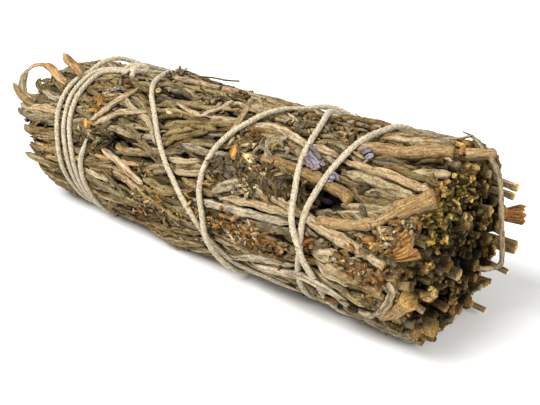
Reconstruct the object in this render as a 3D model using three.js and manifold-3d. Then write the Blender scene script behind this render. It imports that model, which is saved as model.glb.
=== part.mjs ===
// Lavender smudge stick: dried lavender sprigs laid side by side and bound with cotton twine.
// Millimetres. X runs along the bundle with the cut stems at +X, +Z is up, the bundle lies on Z = 0.
// Every sprig keeps to its own cell of the bundle, a slice of one ring, so no two sprigs overlap.

import * as THREE from 'three';
import { mergeVertices } from 'three/addons/utils/BufferGeometryUtils.js';
import Module from 'manifold-3d';

const wasm = await Module();
wasm.setup();

// The bundle
const HALF_LENGTH = 49.5;
const CUT_RADIUS = 17.5;
const TIP_RADIUS = 15.4;
const FLATTENING = 0.9;
const ROUNDED_TIP = 5.0;
const SWIRL = 7.0;
const GAP = 0.3;

// The twine
const TWINE_RADIUS = 0.58;
const TWINE_STEP = 1.7;
const TWINE_GROOVE = 0.6;
const GROOVE_REACH = 2.6;
const GROUND_CLEARANCE = 0.13;

// The rings of sprigs, from the middle out. Depths are measured from the bundle's axis.
const RINGS = [
  { name: 'core_sprig', count: 1, first: 0, stem: 0, inner: 0.5, outer: 2.2 },
  { name: 'inner_sprig', count: 6, first: 20, stem: 4.7, inner: 2.8, outer: 7.1 },
  { name: 'middle_sprig', count: 12, first: 5, stem: 9.4, inner: 7.8, outer: 12.2 },
];
const OUTER_RING = { count: 18, first: -80, outer: 17.3 };

// The stems of the outer ring: thick woody ones lie at the surface, those underneath lie deeper.
const OUTER_STEM = { depth: 14.2, radius: 1.25 };
const WOODY_STEM = { depth: 15.6, radius: 1.5 };
const UNDERSIDE_STEM = { depth: 13.85, radius: 1.0 };

// Where the cut stems of the outer ring end along X, keyed by the angle of the sprig's cell.
const LONG_STEMS = { 160: 53.0, 180: 54.0, 200: 54.0, 220: 54.2, 240: 53.6, 260: 51.5 };

// Stretches of the underside between the turns of twine, where leaves reach down to the ground.
const GROUND_STRETCHES = [[-50, -37.5], [-25, -8], [-8, 9], [40, 50]];

// The outer sprigs, named for what they mostly carry.
const KINDS = {
  '-80': 'underside', '-60': 'underside', '240': 'underside', '260': 'underside',
  '-40': 'leafy', '-20': 'flowering', '0': 'flowering', '20': 'woody', '40': 'flowering', '60': 'leafy',
  '80': 'woody', '100': 'woody', '120': 'leafy', '140': 'flowering', '160': 'leafy', '180': 'leafy',
  '200': 'flowering', '220': 'leafy',
};

// The twine's way round the bundle: X and the angle round it (0 towards -Y, 90 up), angles falling
// by 360 with each turn. It starts under a leaf, makes a double wrap at the tips, crosses the bundle
// to the cut end and back, and is tied off at the top near the tips.
const TWINE_ROUTE = [
  [-26.8, 20], [-27.5, 12], [-28.5, 3], [-28.9, -8], [-28.9, -20], [-28.6, -40], [-28.4, -90],
  [-28.0, -180], [-27.0, -235], [-26.8, -257], [-27.9, -268], [-30.4, -272], [-33.2, -275],
  [-35.1, -280], [-35.5, -288], [-35.2, -297], [-34.7, -309], [-34.4, -321], [-33.7, -333],
  [-32.6, -344], [-31.6, -356], [-30.9, -368], [-30.6, -382], [-30.5, -400], [-30.4, -450],
  [-30.6, -540], [-30.0, -600], [-30.6, -619], [-32.2, -627], [-34.6, -631], [-36.5, -637],
  [-37.3, -645], [-37.3, -654], [-36.9, -664], [-36.6, -674], [-36.1, -684], [-35.3, -697],
  [-34.2, -709], [-33.2, -722], [-32.5, -737], [-32.2, -755], [-32.0, -810], [-32.2, -860],
  [-32.0, -910], [-31.6, -942], [-32.2, -954], [-33.6, -960], [-35.2, -966], [-36.9, -974],
  [-37.8, -984], [-38.2, -994], [-38.5, -1003], [-39.2, -1012], [-39.3, -1022], [-39.0, -1034],
  [-38.4, -1047], [-37.4, -1058], [-36.6, -1069], [-36.0, -1081], [-35.6, -1094], [-35.0, -1108],
  [-34.5, -1125], [-34.0, -1170], [-34.0, -1215], [-30.5, -1275], [-26.6, -1305], [-23.6, -1325],
  [-21.4, -1338], [-19.6, -1350], [-18.6, -1361], [-16.0, -1373], [-13.5, -1381], [-10.3, -1392],
  [-7.1, -1404], [-3.5, -1418], [-0.6, -1427], [2.2, -1436], [4.9, -1446], [7.3, -1458], [9.6, -1471],
  [12.5, -1486], [17.0, -1508], [21.5, -1535], [26.0, -1590], [32.0, -1640], [35.4, -1662],
  [35.7, -1680], [35.4, -1697], [35.1, -1710], [34.7, -1722], [34.2, -1732], [33.5, -1743],
  [32.7, -1752], [31.9, -1764], [31.2, -1776], [31.0, -1787], [31.1, -1798], [30.5, -1809],
  [29.8, -1820], [29.3, -1832], [28.8, -1850], [28.4, -1890], [27.2, -1935], [24.0, -1978],
  [20.6, -2010], [19.2, -2033], [20.4, -2053], [22.7, -2068], [24.8, -2082], [25.6, -2094],
  [25.9, -2103], [26.3, -2111], [27.0, -2120], [28.3, -2132], [29.9, -2146], [31.7, -2157],
  [33.1, -2169], [34.0, -2182], [34.8, -2198], [36.3, -2222], [37.0, -2250], [33.0, -2320],
  [24.0, -2368], [18.4, -2392], [16.2, -2408], [14.3, -2423], [12.8, -2436], [11.6, -2448],
  [10.5, -2457], [9.2, -2464], [8.2, -2471], [7.3, -2478], [6.7, -2487], [6.4, -2497], [6.6, -2507],
  [7.1, -2514], [7.7, -2521], [8.3, -2530], [9.1, -2540], [10.0, -2551], [10.7, -2560], [11.4, -2575],
  [11.6, -2610], [3.0, -2668], [-12.0, -2698], [-22.0, -2718], [-29.0, -2740], [-31.0, -2758],
  [-30.2, -2775], [-28.6, -2790],
];

// Where one turn stands off the sprigs: the middle and half the length of that stretch, as angles
// along the route, and how high it stands.
const LOOSE_LOOP = { middle: -977, reach: 27, height: 1.5 };
const KNOT = { x: -28.0, angle: 96, length: 4.6, width: 3.6, height: 2.4 };

// A thin stem that comes over the top of the cut end and hangs down in front of it.
const HOOKED_STEM_RADIUS = 0.5;
const HOOKED_STEM_ROUTE = [
  [45.0, 6.4, 33.8], [48.8, 4.6, 34.5], [50.8, 3.5, 34.1], [52.6, 3.3, 32.7], [53.9, 3.8, 30.9],
  [54.5, 4.9, 28.4], [54.8, 5.6, 25.0], [54.9, 6.5, 21.0], [55.0, 7.8, 16.0], [54.9, 8.7, 12.8],
  [54.7, 8.9, 10.9], [53.7, 7.2, 10.5], [52.3, 5.1, 11.0],
];

const { clamp, lerp, smoothstep, degToRad } = THREE.MathUtils;

// Repeatable variation between one sprig or leaf and the next, from -1 to 1.
let variationState = 7;
function variation() {
  variationState = (variationState * 1103515245 + 12345) % 2147483648;
  return variationState / 1073741824 - 1;
}

function bundleRadius(x) {
  const share = (x + HALF_LENGTH) / (2 * HALF_LENGTH);
  const rounding = 0.16 * smoothstep(-x, HALF_LENGTH - ROUNDED_TIP, HALF_LENGTH + 2) ** 2;
  return lerp(TIP_RADIUS, CUT_RADIUS, share) * (1 - rounding);
}

function axisHeight(x) {
  const share = (x + HALF_LENGTH) / (2 * HALF_LENGTH);
  return lerp(TIP_RADIUS, CUT_RADIUS, share) - FLATTENING;
}

// A point from its place along X, its angle round the axis and its radius, pressed flat on the ground.
function pointAt(x, angle, radius) {
  const turn = degToRad(angle);
  const y = -radius * Math.cos(turn);
  const z = axisHeight(x) + radius * Math.sin(turn);
  return new THREE.Vector3(x, y, Math.max(z, 0));
}

// The twine's route on the unrolled bundle: X and the distance round it.
function sampleRoute() {
  const corners = TWINE_ROUTE.map(([x, angle]) => new THREE.Vector3(x, degToRad(angle) * bundleRadius(x), 0));
  const curve = new THREE.CatmullRomCurve3(corners, false, 'centripetal');
  const count = Math.round(curve.getLength() / TWINE_STEP);
  return curve.getSpacedPoints(count).map((point) => {
    const angle = THREE.MathUtils.radToDeg(point.y / bundleRadius(point.x));
    return { x: point.x, angle };
  });
}

const routeSamples = sampleRoute();

function distanceRoundBundle(a, b) {
  const turn = THREE.MathUtils.euclideanModulo(a.angle - b.angle + 180, 360) - 180;
  return Math.hypot(a.x - b.x, degToRad(turn) * bundleRadius(b.x));
}

// How deep the twine presses the sprigs in, away from the flattened underside.
function grooveDepth(x, angle) {
  const distances = routeSamples.map((sample) => distanceRoundBundle({ x, angle }, sample));
  const nearness = Math.min(...distances) / GROOVE_REACH;
  return TWINE_GROOVE * Math.exp(-nearness * nearness);
}

// A point inside the bundle. Depth is out from the axis as measured at the cut end.
function bundlePoint(x, cellAngle, depth) {
  const angle = cellAngle + SWIRL * (x / HALF_LENGTH) * (x / HALF_LENGTH - 1) * 0.5;
  const share = depth / CUT_RADIUS;
  const pressed = share > 0.4 ? grooveDepth(x, angle) * share * share : 0;
  return pointAt(x, angle, share * bundleRadius(x) - pressed);
}

// A closed solid from rings of points, with a point at each end.
function loft(start, rings, end) {
  const sides = rings[0].length;
  const points = [start, ...rings.flat(), end];
  const last = points.length - 1;
  const faces = [];
  for (let side = 0; side < sides; side += 1) {
    const next = (side + 1) % sides;
    faces.push(0, 1 + next, 1 + side);
    for (let ring = 0; ring < rings.length - 1; ring += 1) {
      const low = 1 + ring * sides;
      const high = low + sides;
      faces.push(low + side, low + next, high + next);
      faces.push(low + side, high + next, high + side);
    }
    const top = 1 + (rings.length - 1) * sides;
    faces.push(top + side, top + next, last);
  }
  return solidFrom(new Float32Array(points.flatMap((point) => point.toArray())), new Uint32Array(faces));
}

function solidFrom(vertProperties, triVerts) {
  return new wasm.Manifold(new wasm.Mesh({ numProp: 3, vertProperties, triVerts }));
}

// A leaf or calyx: pointed at both ends, its flat side out. It climbs from the stem to its own depth.
function leafSolid(cell, leaf) {
  const { from, to, fromTurn, toTurn, fromDepth, toDepth, width, thickness, step } = leaf;
  const count = Math.max(3, Math.round(Math.abs(to - from) / step));
  const centre = (share) => {
    const climb = smoothstep(share, 0, 0.3);
    return {
      x: lerp(from, to, share),
      turn: lerp(fromTurn, toTurn, share),
      depth: lerp(fromDepth, toDepth, climb),
    };
  };
  const rings = [];
  for (let station = 1; station < count; station += 1) {
    const share = station / count;
    const fullness = Math.sin(Math.PI * share ** 0.8) ** 0.45;
    const { x, turn, depth } = centre(share);
    const ring = [];
    for (const corner of [54, 126, 198, 270, 342]) {
      const across = 0.5 * width * fullness * Math.cos(degToRad(corner));
      const out = 0.5 * thickness * fullness * Math.sin(degToRad(corner));
      const side = turn + THREE.MathUtils.radToDeg(across / depth);
      ring.push(bundlePoint(x, cell.angle + clamp(side, -cell.reach, cell.reach), depth + out));
    }
    rings.push(ring);
  }
  const ends = [0, 1].map((share) => {
    const { x, turn, depth } = centre(share);
    return bundlePoint(x, cell.angle + turn, depth);
  });
  if (to < from) rings.forEach((ring) => ring.reverse());
  return loft(ends[0], rings, ends[1]);
}

// A stem from the tip to its cut end, swelling at the joints where leaves grew.
function stemSolid(cell, stem) {
  const { from, to, depth, radius, step } = stem;
  const count = Math.round((to - from) / step);
  const sway = cell.angle * 0.7;
  const rings = [];
  for (let station = 0; station <= count; station += 1) {
    const x = lerp(from, to, station / count);
    const thickness = radius * lerp(0.6, 1, station / count) * (station % 3 === 2 ? 1.18 : 1);
    const ring = [];
    for (let corner = 18; corner < 378; corner += 72) {
      const across = thickness * Math.cos(degToRad(corner)) + 0.5 * Math.sin(x * 0.11 + sway);
      const out = thickness * Math.sin(degToRad(corner));
      ring.push(stemPoint(cell, x, across, depth, out));
    }
    rings.push(ring);
  }
  const tip = stemPoint(cell, from - radius, 0.5 * Math.sin(from * 0.11 + sway), depth, 0);
  const cut = stemPoint(cell, to + 0.05, 0.5 * Math.sin(to * 0.11 + sway), depth, 0);
  return loft(tip, rings, cut);
}

// Stems of the ring round the middle are placed by angle; the one in the middle by its offset.
function stemPoint(cell, x, across, depth, out) {
  if (depth > 0) {
    const turn = THREE.MathUtils.radToDeg(across / depth);
    return bundlePoint(x, cell.angle + clamp(turn, -cell.reach, cell.reach), depth + out);
  }
  return new THREE.Vector3(x, across, axisHeight(x) + out);
}

function union(solids) {
  return solids.reduce((joined, solid) => joined.add(solid));
}

function geometryOf(solid) {
  const { vertProperties, triVerts, numProp } = solid.getMesh();
  const positions = new Float32Array((vertProperties.length / numProp) * 3);
  for (let vertex = 0; vertex < positions.length / 3; vertex += 1) {
    positions.set(vertProperties.subarray(vertex * numProp, vertex * numProp + 3), vertex * 3);
  }
  const geometry = new THREE.BufferGeometry();
  geometry.setAttribute('position', new THREE.BufferAttribute(positions, 3));
  geometry.setIndex(new THREE.BufferAttribute(new Uint32Array(triVerts), 1));
  return mergeVertices(geometry, 1e-4);
}

function cellOf(ring, index) {
  const width = 360 / ring.count;
  const wall = THREE.MathUtils.radToDeg(0.5 * GAP / ring.outer);
  return { angle: ring.first + width * index, reach: 0.5 * width - 1.2 * wall };
}

// Sprigs hidden inside the bundle: a stem with a few leaves pressed against it.
function hiddenSprig(ring, index) {
  const cell = cellOf(ring, index);
  const cutEnd = 47.5 + 2.2 * variation();
  const tipEnd = -46 + 2.5 * variation();
  const solids = [stemSolid(cell, { from: tipEnd, to: cutEnd, depth: ring.stem, radius: 1.7, step: 23 })];
  if (ring.stem === 0) return union(solids);
  for (const [start, side] of [[46, 1], [17, -1], [-16, 1]]) {
    const from = start + 3 * variation();
    solids.push(leafSolid(cell, {
      from,
      to: Math.max(from - 33, tipEnd - 2),
      fromTurn: 0,
      toTurn: side * cell.reach * 0.55,
      fromDepth: ring.stem,
      toDepth: lerp(ring.inner, ring.outer, 0.5 + 0.22 * side),
      width: 5.4,
      thickness: 3.0,
      step: 11,
    }));
  }
  return union(solids);
}

// One of the outer sprigs, drawn by what it carries.
function outerSprig(index) {
  const cell = cellOf(OUTER_RING, index);
  const kind = KINDS[cell.angle];
  const cutEnd = LONG_STEMS[cell.angle] ?? 49.5 + 0.8 * variation();
  const tipEnd = -47.6 + 1.2 * variation();
  const stem = { woody: WOODY_STEM, underside: UNDERSIDE_STEM }[kind] ?? OUTER_STEM;
  const solids = [stemSolid(cell, { ...stem, from: tipEnd, to: cutEnd, step: 9 })];
  for (const leaf of leavesOf(kind, cell, tipEnd)) solids.push(leafSolid(cell, leaf));
  return union(solids);
}

function leavesOf(kind, cell, tipEnd) {
  const side = cell.reach * 0.5;
  const shape = { toDepth: 16.3, width: 4.3, thickness: 2.4, step: 5.8 };
  const base = { ...shape, fromTurn: 0, fromDepth: OUTER_STEM.depth };
  if (kind === 'underside') {
    const lanes = [-side * 1.1, side * 1.1];
    return GROUND_STRETCHES.flatMap(([low, high]) => lanes.map((lane) => ({
      ...base, from: high, to: low, fromTurn: 0, toTurn: lane, fromDepth: UNDERSIDE_STEM.depth, step: 4.0,
    })));
  }
  const starts = kind === 'flowering' ? [46, 27] : [46, 33, 19, 6, -8, -23];
  const leaves = starts.map((start, order) => {
    const from = start + 2.5 * variation();
    const lane = order % 2 ? side : -side;
    return { ...base, from, to: Math.max(from - 25, tipEnd - 2.8), toTurn: lane * (1 + 0.2 * variation()) };
  });
  if (kind !== 'flowering') return leaves;
  for (const whorl of [2, -11, -25, -39]) {
    for (const lane of [-side, side]) {
      leaves.push({ ...base, from: whorl + 2 * variation(), to: whorl - 10.5, toTurn: lane, step: 3.6 });
    }
  }
  return leaves;
}

// A closed solid from one of three's geometries.
function solidOf(geometry) {
  geometry.deleteAttribute('normal');
  geometry.deleteAttribute('uv');
  const merged = mergeVertices(geometry, 1e-4);
  return solidFrom(new Float32Array(merged.attributes.position.array), new Uint32Array(merged.index.array));
}

function tube(points, radius, sides, steps) {
  const outline = [];
  for (let corner = 0; corner < sides; corner += 1) {
    const turn = (2 * Math.PI * corner) / sides;
    outline.push(new THREE.Vector2(radius * Math.cos(turn), radius * Math.sin(turn)));
  }
  const path = new THREE.CatmullRomCurve3(points, false, 'centripetal');
  const settings = { steps, extrudePath: path, bevelEnabled: false };
  return solidOf(new THREE.ExtrudeGeometry(new THREE.Shape(outline), settings));
}

// How far out from the axis the sprigs reach under one place on the twine.
function highestSprig(sample, sprigs, caster) {
  let highest = 0;
  for (const [along, round] of [[0, 0], [-0.7, 0], [0.7, 0], [0, -2.4], [0, 2.4]]) {
    const x = sample.x + along;
    const turn = degToRad(sample.angle + round);
    const outward = new THREE.Vector3(0, -Math.cos(turn), Math.sin(turn));
    const centre = new THREE.Vector3(x, 0, axisHeight(x));
    caster.set(centre.clone().addScaledVector(outward, 25), outward.clone().negate());
    const hit = caster.intersectObjects(sprigs, false)[0];
    if (hit) highest = Math.max(highest, 25 - hit.distance);
  }
  return highest;
}

// The twine lies taut over the sprigs, and over its own earlier turns where it crosses them.
function twinePoints(sprigs) {
  const caster = new THREE.Raycaster();
  const rests = routeSamples.map((sample) => highestSprig(sample, sprigs, caster));
  const radii = rests.map((_, index) => {
    const near = rests.slice(Math.max(0, index - 2), index + 3);
    return Math.max(...near) + TWINE_RADIUS + GAP;
  });
  const clearance = 2 * TWINE_RADIUS + GAP;
  routeSamples.forEach((sample, index) => {
    for (let earlier = 0; earlier < index - 12; earlier += 1) {
      const distance = distanceRoundBundle(sample, routeSamples[earlier]);
      if (distance > clearance) continue;
      const raised = radii[earlier] + clearance;
      for (let near = -6; near <= 6; near += 1) {
        const ramp = raised - 0.22 * Math.max(0, Math.abs(near) - 2);
        if (radii[index + near] < ramp) radii[index + near] = ramp;
      }
    }
  });
  const points = routeSamples.map((sample, index) => {
    const along = (sample.angle - LOOSE_LOOP.middle) / LOOSE_LOOP.reach;
    const standoff = LOOSE_LOOP.height * Math.max(0, 1 - along * along) ** 1.2;
    const point = pointAt(sample.x, sample.angle, radii[index] + standoff);
    return point.setZ(Math.max(point.z, TWINE_RADIUS + GROUND_CLEARANCE));
  });
  return points.filter((_, index) => index % 2 === 0);
}

function knotSolid(sprigs) {
  const height = highestSprig(KNOT, sprigs, new THREE.Raycaster()) + 0.5 * KNOT.height + GAP;
  const knot = new THREE.SphereGeometry(0.5, 16, 8);
  knot.scale(KNOT.length, KNOT.width, KNOT.height);
  knot.rotateX(degToRad(90 - KNOT.angle));
  knot.translate(...pointAt(KNOT.x, KNOT.angle, height).toArray());
  return solidOf(knot);
}

function bindingTwine(sprigs) {
  const points = twinePoints(sprigs);
  return tube(points, TWINE_RADIUS, 6, points.length - 1).add(knotSolid(sprigs));
}

const leafMaterial = new THREE.MeshStandardMaterial({ color: 0x84795c, roughness: 0.95, metalness: 0 });
const flowerMaterial = new THREE.MeshStandardMaterial({ color: 0x7d6650, roughness: 0.95, metalness: 0 });
const stemMaterial = new THREE.MeshStandardMaterial({ color: 0xa08358, roughness: 0.85, metalness: 0 });
const twineMaterial = new THREE.MeshStandardMaterial({ color: 0xe3d9bc, roughness: 0.9, metalness: 0 });

const group = new THREE.Group();

function addPiece(name, solid, material) {
  const mesh = new THREE.Mesh(geometryOf(solid), material);
  mesh.name = name;
  group.add(mesh);
  return mesh;
}

for (const ring of RINGS) {
  for (let index = 0; index < ring.count; index += 1) {
    const number = ring.count > 1 ? `_${String(index + 1).padStart(2, '0')}` : '';
    addPiece(`${ring.name}${number}`, hiddenSprig(ring, index), stemMaterial);
  }
}

const outerSprigs = [];
for (let index = 0; index < OUTER_RING.count; index += 1) {
  const kind = KINDS[OUTER_RING.first + 20 * index];
  const material = { woody: stemMaterial, flowering: flowerMaterial }[kind] ?? leafMaterial;
  const name = `${kind}_sprig_${String(index + 1).padStart(2, '0')}`;
  outerSprigs.push(addPiece(name, outerSprig(index), material));
}
outerSprigs.forEach((mesh) => mesh.updateMatrixWorld());

addPiece('binding_twine', bindingTwine(outerSprigs), twineMaterial);

const hookedPoints = HOOKED_STEM_ROUTE.map((point) => new THREE.Vector3(...point));
addPiece('hooked_stem', tube(hookedPoints, HOOKED_STEM_RADIUS, 6, 18), stemMaterial);

// The origin is the middle of the ground the bundle covers.
const centre = new THREE.Box3().setFromObject(group).getCenter(new THREE.Vector3());
group.position.set(-centre.x, -centre.y, 0);

export default group;
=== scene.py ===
"""A lavender smudge stick: dried sprigs bound with cotton twine, lying on a pale table."""
import math

import bpy
import numpy as np
from mathutils import Matrix, Vector


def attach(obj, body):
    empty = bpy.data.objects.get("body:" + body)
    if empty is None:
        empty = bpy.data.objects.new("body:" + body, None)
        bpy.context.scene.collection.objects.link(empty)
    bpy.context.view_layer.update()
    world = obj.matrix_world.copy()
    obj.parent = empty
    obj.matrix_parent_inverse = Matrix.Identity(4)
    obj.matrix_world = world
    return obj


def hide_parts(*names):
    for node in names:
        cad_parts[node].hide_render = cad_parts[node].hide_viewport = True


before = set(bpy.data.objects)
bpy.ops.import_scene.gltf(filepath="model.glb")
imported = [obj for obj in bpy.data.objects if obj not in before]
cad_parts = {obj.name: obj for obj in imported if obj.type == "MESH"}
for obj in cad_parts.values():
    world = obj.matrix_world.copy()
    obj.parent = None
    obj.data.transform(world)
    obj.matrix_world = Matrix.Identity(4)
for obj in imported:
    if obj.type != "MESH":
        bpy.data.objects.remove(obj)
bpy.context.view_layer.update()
rng = np.random.default_rng(20)

# The bundle, in millimetres, as in the solid model: X along it, angle 0 towards -Y and 90 up.
MM = 0.001
CENTRE = np.array([-2.6478, 0.0773, 0.0])
HALF_LENGTH, CUT_RADIUS, TIP_RADIUS, FLATTENING = 49.5, 17.5, 15.4, 0.9
# The distance round the bundle at the cut end, rounded up.
AROUND = 110
# X where the cut end and the tips begin, and where the cut end's height is taken.
END_X, TIP_X, END_HEIGHT_X = 50.0, -50.6, 49.0
TWINE_RADIUS = 0.6
# The twine's route, as X and angle.
TWINE_ROUTE = [
    (-26.8, 20), (-27.5, 12), (-28.5, 3), (-28.9, -8), (-28.9, -20), (-28.6, -40), (-28.4, -90),
    (-28.0, -180), (-27.0, -235), (-26.8, -257), (-27.9, -268), (-30.4, -272), (-33.2, -275),
    (-35.1, -280), (-35.5, -288), (-35.2, -297), (-34.7, -309), (-34.4, -321), (-33.7, -333),
    (-32.6, -344), (-31.6, -356), (-30.9, -368), (-30.6, -382), (-30.5, -400), (-30.4, -450),
    (-30.6, -540), (-30.0, -600), (-30.6, -619), (-32.2, -627), (-34.6, -631), (-36.5, -637),
    (-37.3, -645), (-37.3, -654), (-36.9, -664), (-36.6, -674), (-36.1, -684), (-35.3, -697),
    (-34.2, -709), (-33.2, -722), (-32.5, -737), (-32.2, -755), (-32.0, -810), (-32.2, -860),
    (-32.0, -910), (-31.6, -942), (-32.2, -954), (-33.6, -960), (-35.2, -966), (-36.9, -974),
    (-37.8, -984), (-38.2, -994), (-38.5, -1003), (-39.2, -1012), (-39.3, -1022), (-39.0, -1034),
    (-38.4, -1047), (-37.4, -1058), (-36.6, -1069), (-36.0, -1081), (-35.6, -1094), (-35.0, -1108),
    (-34.5, -1125), (-34.0, -1170), (-34.0, -1215), (-30.5, -1275), (-26.6, -1305), (-23.6, -1325),
    (-21.4, -1338), (-19.6, -1350), (-18.6, -1361), (-16.0, -1373), (-13.5, -1381), (-10.3, -1392),
    (-7.1, -1404), (-3.5, -1418), (-0.6, -1427), (2.2, -1436), (4.9, -1446), (7.3, -1458),
    (9.6, -1471), (12.5, -1486), (17.0, -1508), (21.5, -1535), (26.0, -1590), (32.0, -1640),
    (35.4, -1662), (35.7, -1680), (35.4, -1697), (35.1, -1710), (34.7, -1722), (34.2, -1732),
    (33.5, -1743), (32.7, -1752), (31.9, -1764), (31.2, -1776), (31.0, -1787), (31.1, -1798),
    (30.5, -1809), (29.8, -1820), (29.3, -1832), (28.8, -1850), (28.4, -1890), (27.2, -1935),
    (24.0, -1978), (20.6, -2010), (19.2, -2033), (20.4, -2053), (22.7, -2068), (24.8, -2082),
    (25.6, -2094), (25.9, -2103), (26.3, -2111), (27.0, -2120), (28.3, -2132), (29.9, -2146),
    (31.7, -2157), (33.1, -2169), (34.0, -2182), (34.8, -2198), (36.3, -2222), (37.0, -2250),
    (33.0, -2320), (24.0, -2368), (18.4, -2392), (16.2, -2408), (14.3, -2423), (12.8, -2436),
    (11.6, -2448), (10.5, -2457), (9.2, -2464), (8.2, -2471), (7.3, -2478), (6.7, -2487),
    (6.4, -2497), (6.6, -2507), (7.1, -2514), (7.7, -2521), (8.3, -2530), (9.1, -2540),
    (10.0, -2551), (10.7, -2560), (11.4, -2575), (11.6, -2610), (3.0, -2668), (-12.0, -2698),
    (-22.0, -2718), (-29.0, -2740), (-31.0, -2758), (-30.2, -2775), (-28.6, -2790),
]
# The hooked stem's route, as X, Y and Z from CENTRE.
HOOKED_STEM_ROUTE = [
    (46.8, 5.7, 34.3), (48.8, 4.4, 34.6), (50.8, 3.4, 34.2), (52.6, 3.3, 32.8), (53.9, 3.8, 30.9),
    (54.5, 4.9, 28.4), (54.8, 5.6, 25.0), (54.9, 6.5, 21.0), (55.0, 7.8, 16.0), (54.9, 8.7, 12.8),
    (54.7, 8.9, 10.9), (53.7, 7.2, 10.5), (52.3, 5.1, 11.0),
]

# Camera: the place and direction that give the bundle the view it is known by.
CAMERA_AT = CENTRE + (110.277, -116.267, 85.104)
CAMERA_AZIMUTH, CAMERA_ELEVATION, CAMERA_LENS = 40.814, 25.427, 58.0

# Material slots of every plant piece.
LEAF, STEM, FLOWER, PITH, OLIVE = range(5)


# ---------------------------------------------------------------- lines and tubes


def bundle_radius(x):
    share = (x + HALF_LENGTH) / (2 * HALF_LENGTH)
    return TIP_RADIUS + (CUT_RADIUS - TIP_RADIUS) * share


def axis_height(x):
    return bundle_radius(x) - FLATTENING


def arc_of(angle):
    return np.radians(angle) * CUT_RADIUS


def place(x, arc, depth):
    """Points from X, the distance round the bundle and the depth out, both as at the cut end."""
    turn = arc / CUT_RADIUS
    radius = depth / CUT_RADIUS * bundle_radius(x)
    y = -radius * np.cos(turn)
    z = np.maximum(axis_height(x) + radius * np.sin(turn), 0.03)
    return np.stack([x + CENTRE[0], y + CENTRE[1], z], -1)


def radial(arc):
    turn = arc / CUT_RADIUS
    return np.stack([np.zeros_like(turn), -np.cos(turn), np.sin(turn)], -1)


def smooth(values, reach):
    """A running mean that keeps the ends."""
    padded = np.pad(values, reach, mode="edge")
    kernel = np.hanning(2 * reach + 3)[1:-1]
    return np.convolve(padded, kernel / kernel.sum(), "valid")


def ease(value, low, high):
    share = np.clip((value - low) / (high - low), 0, 1)
    return share * share * (3 - 2 * share)


def unit(vectors):
    return vectors / np.maximum(np.linalg.norm(vectors, axis=-1, keepdims=True), 1e-9)


def steps(line):
    return np.linalg.norm(np.diff(line, axis=0), axis=1)


def distances(line):
    """How far along a line each of its points is."""
    return np.r_[0, np.cumsum(steps(line))]


def curve(points, step):
    """A smooth line through the points, sampled about every step."""
    points = np.asarray(points, float)
    padded = np.vstack([2 * points[0] - points[1], points, 2 * points[-1] - points[-2]])
    samples = []
    for before, start, end, after in zip(padded, padded[1:], padded[2:], padded[3:]):
        share = np.linspace(0, 1, 17)[:-1, None]
        samples.append(0.5 * (2 * start + (end - before) * share
                              + (2 * before - 5 * start + 4 * end - after) * share ** 2
                              + (3 * start - before - 3 * end + after) * share ** 3))
    line = np.vstack(samples + [points[-1:]])
    reached = distances(line)
    count = max(4, int(round(reached[-1] / step)) + 1)
    wanted = np.linspace(0, reached[-1], count)
    return np.stack([np.interp(wanted, reached, column) for column in line.T], -1)


def sweep(path, outward, profile, half_width, half_height, roll=0.0):
    """Rings of a closed tube: the profile carried along the path with its top facing outward."""
    tangent = unit(np.gradient(path, axis=0))
    out = unit(outward - (outward * tangent).sum(1, keepdims=True) * tangent)
    side = np.cross(tangent, out)
    roll = np.broadcast_to(roll, len(path))[:, None]
    side, out = side * np.cos(roll) + out * np.sin(roll), out * np.cos(roll) - side * np.sin(roll)
    across = profile[:, 0] * np.broadcast_to(half_width, len(path))[:, None]
    up = profile[:, 1] * np.broadcast_to(half_height, len(path))[:, None]
    return path[:, None] + side[:, None] * across[..., None] + out[:, None] * up[..., None]


def round_profile(count, ribs=0, depth=0.0):
    turn = np.arange(count) / count * 2 * np.pi - np.pi / 2
    radius = 1 + depth * np.cos(ribs * turn)
    return np.stack([radius * np.cos(turn), radius * np.sin(turn)], -1)


# A lavender leaf is rolled under at both edges and grooved along the middle. Starts underneath.
LEAF_PROFILE = np.array([
    (0.0, -0.45), (0.35, -0.75), (0.78, -0.7), (1.0, -0.05), (0.84, 0.62), (0.42, 0.98),
    (0.0, 0.66), (-0.42, 0.98), (-0.84, 0.62), (-1.0, -0.05), (-0.78, -0.7), (-0.35, -0.75),
])
PLAIN_LEAF_PROFILE = np.array([
    (0.0, -0.5), (0.8, -0.55), (0.9, 0.5), (0.35, 0.95), (-0.35, 0.95), (-0.9, 0.5), (-0.8, -0.55),
])
FLAKE_PROFILE = np.array([
    (0, -0.5), (0.6, -0.3), (1, 0.2), (0.6, 0.5), (0, 0.2), (-0.6, 0.6), (-1, 0.3), (-0.6, -0.3),
])
STEM_PROFILE = round_profile(14, ribs=4, depth=0.07)
TWIG_PROFILE = round_profile(8)
CALYX_PROFILE = round_profile(16, ribs=8, depth=0.12)


def tube_texture(rings, girth):
    """Millimetres along and round a tube at every face corner, its end faces laid beside it."""
    along, sides = distances(rings.mean(1)), rings.shape[1]
    cap, step = girth / math.pi, girth / sides
    x = np.broadcast_to(along[:, None], rings.shape[:2])
    y = np.broadcast_to(np.arange(sides) * girth / sides, rings.shape[:2])
    walls = np.stack([np.stack([x[:-1], x[1:], x[1:], x[:-1]], -1),
                      np.stack([y[:-1], y[1:], y[1:] + step, y[:-1] + step], -1)], -1)
    turn = np.arange(sides) / sides * 2 * np.pi
    end_face = 0.45 * cap * np.stack([np.cos(turn), np.sin(turn)], -1)
    start = end_face + (-0.5 * cap, 0.5 * cap)
    end = end_face + (along[-1], 0) + (0.5 * cap, 0.5 * cap)
    return np.vstack([walls.reshape(-1, 2), start, end[::-1]])


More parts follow.
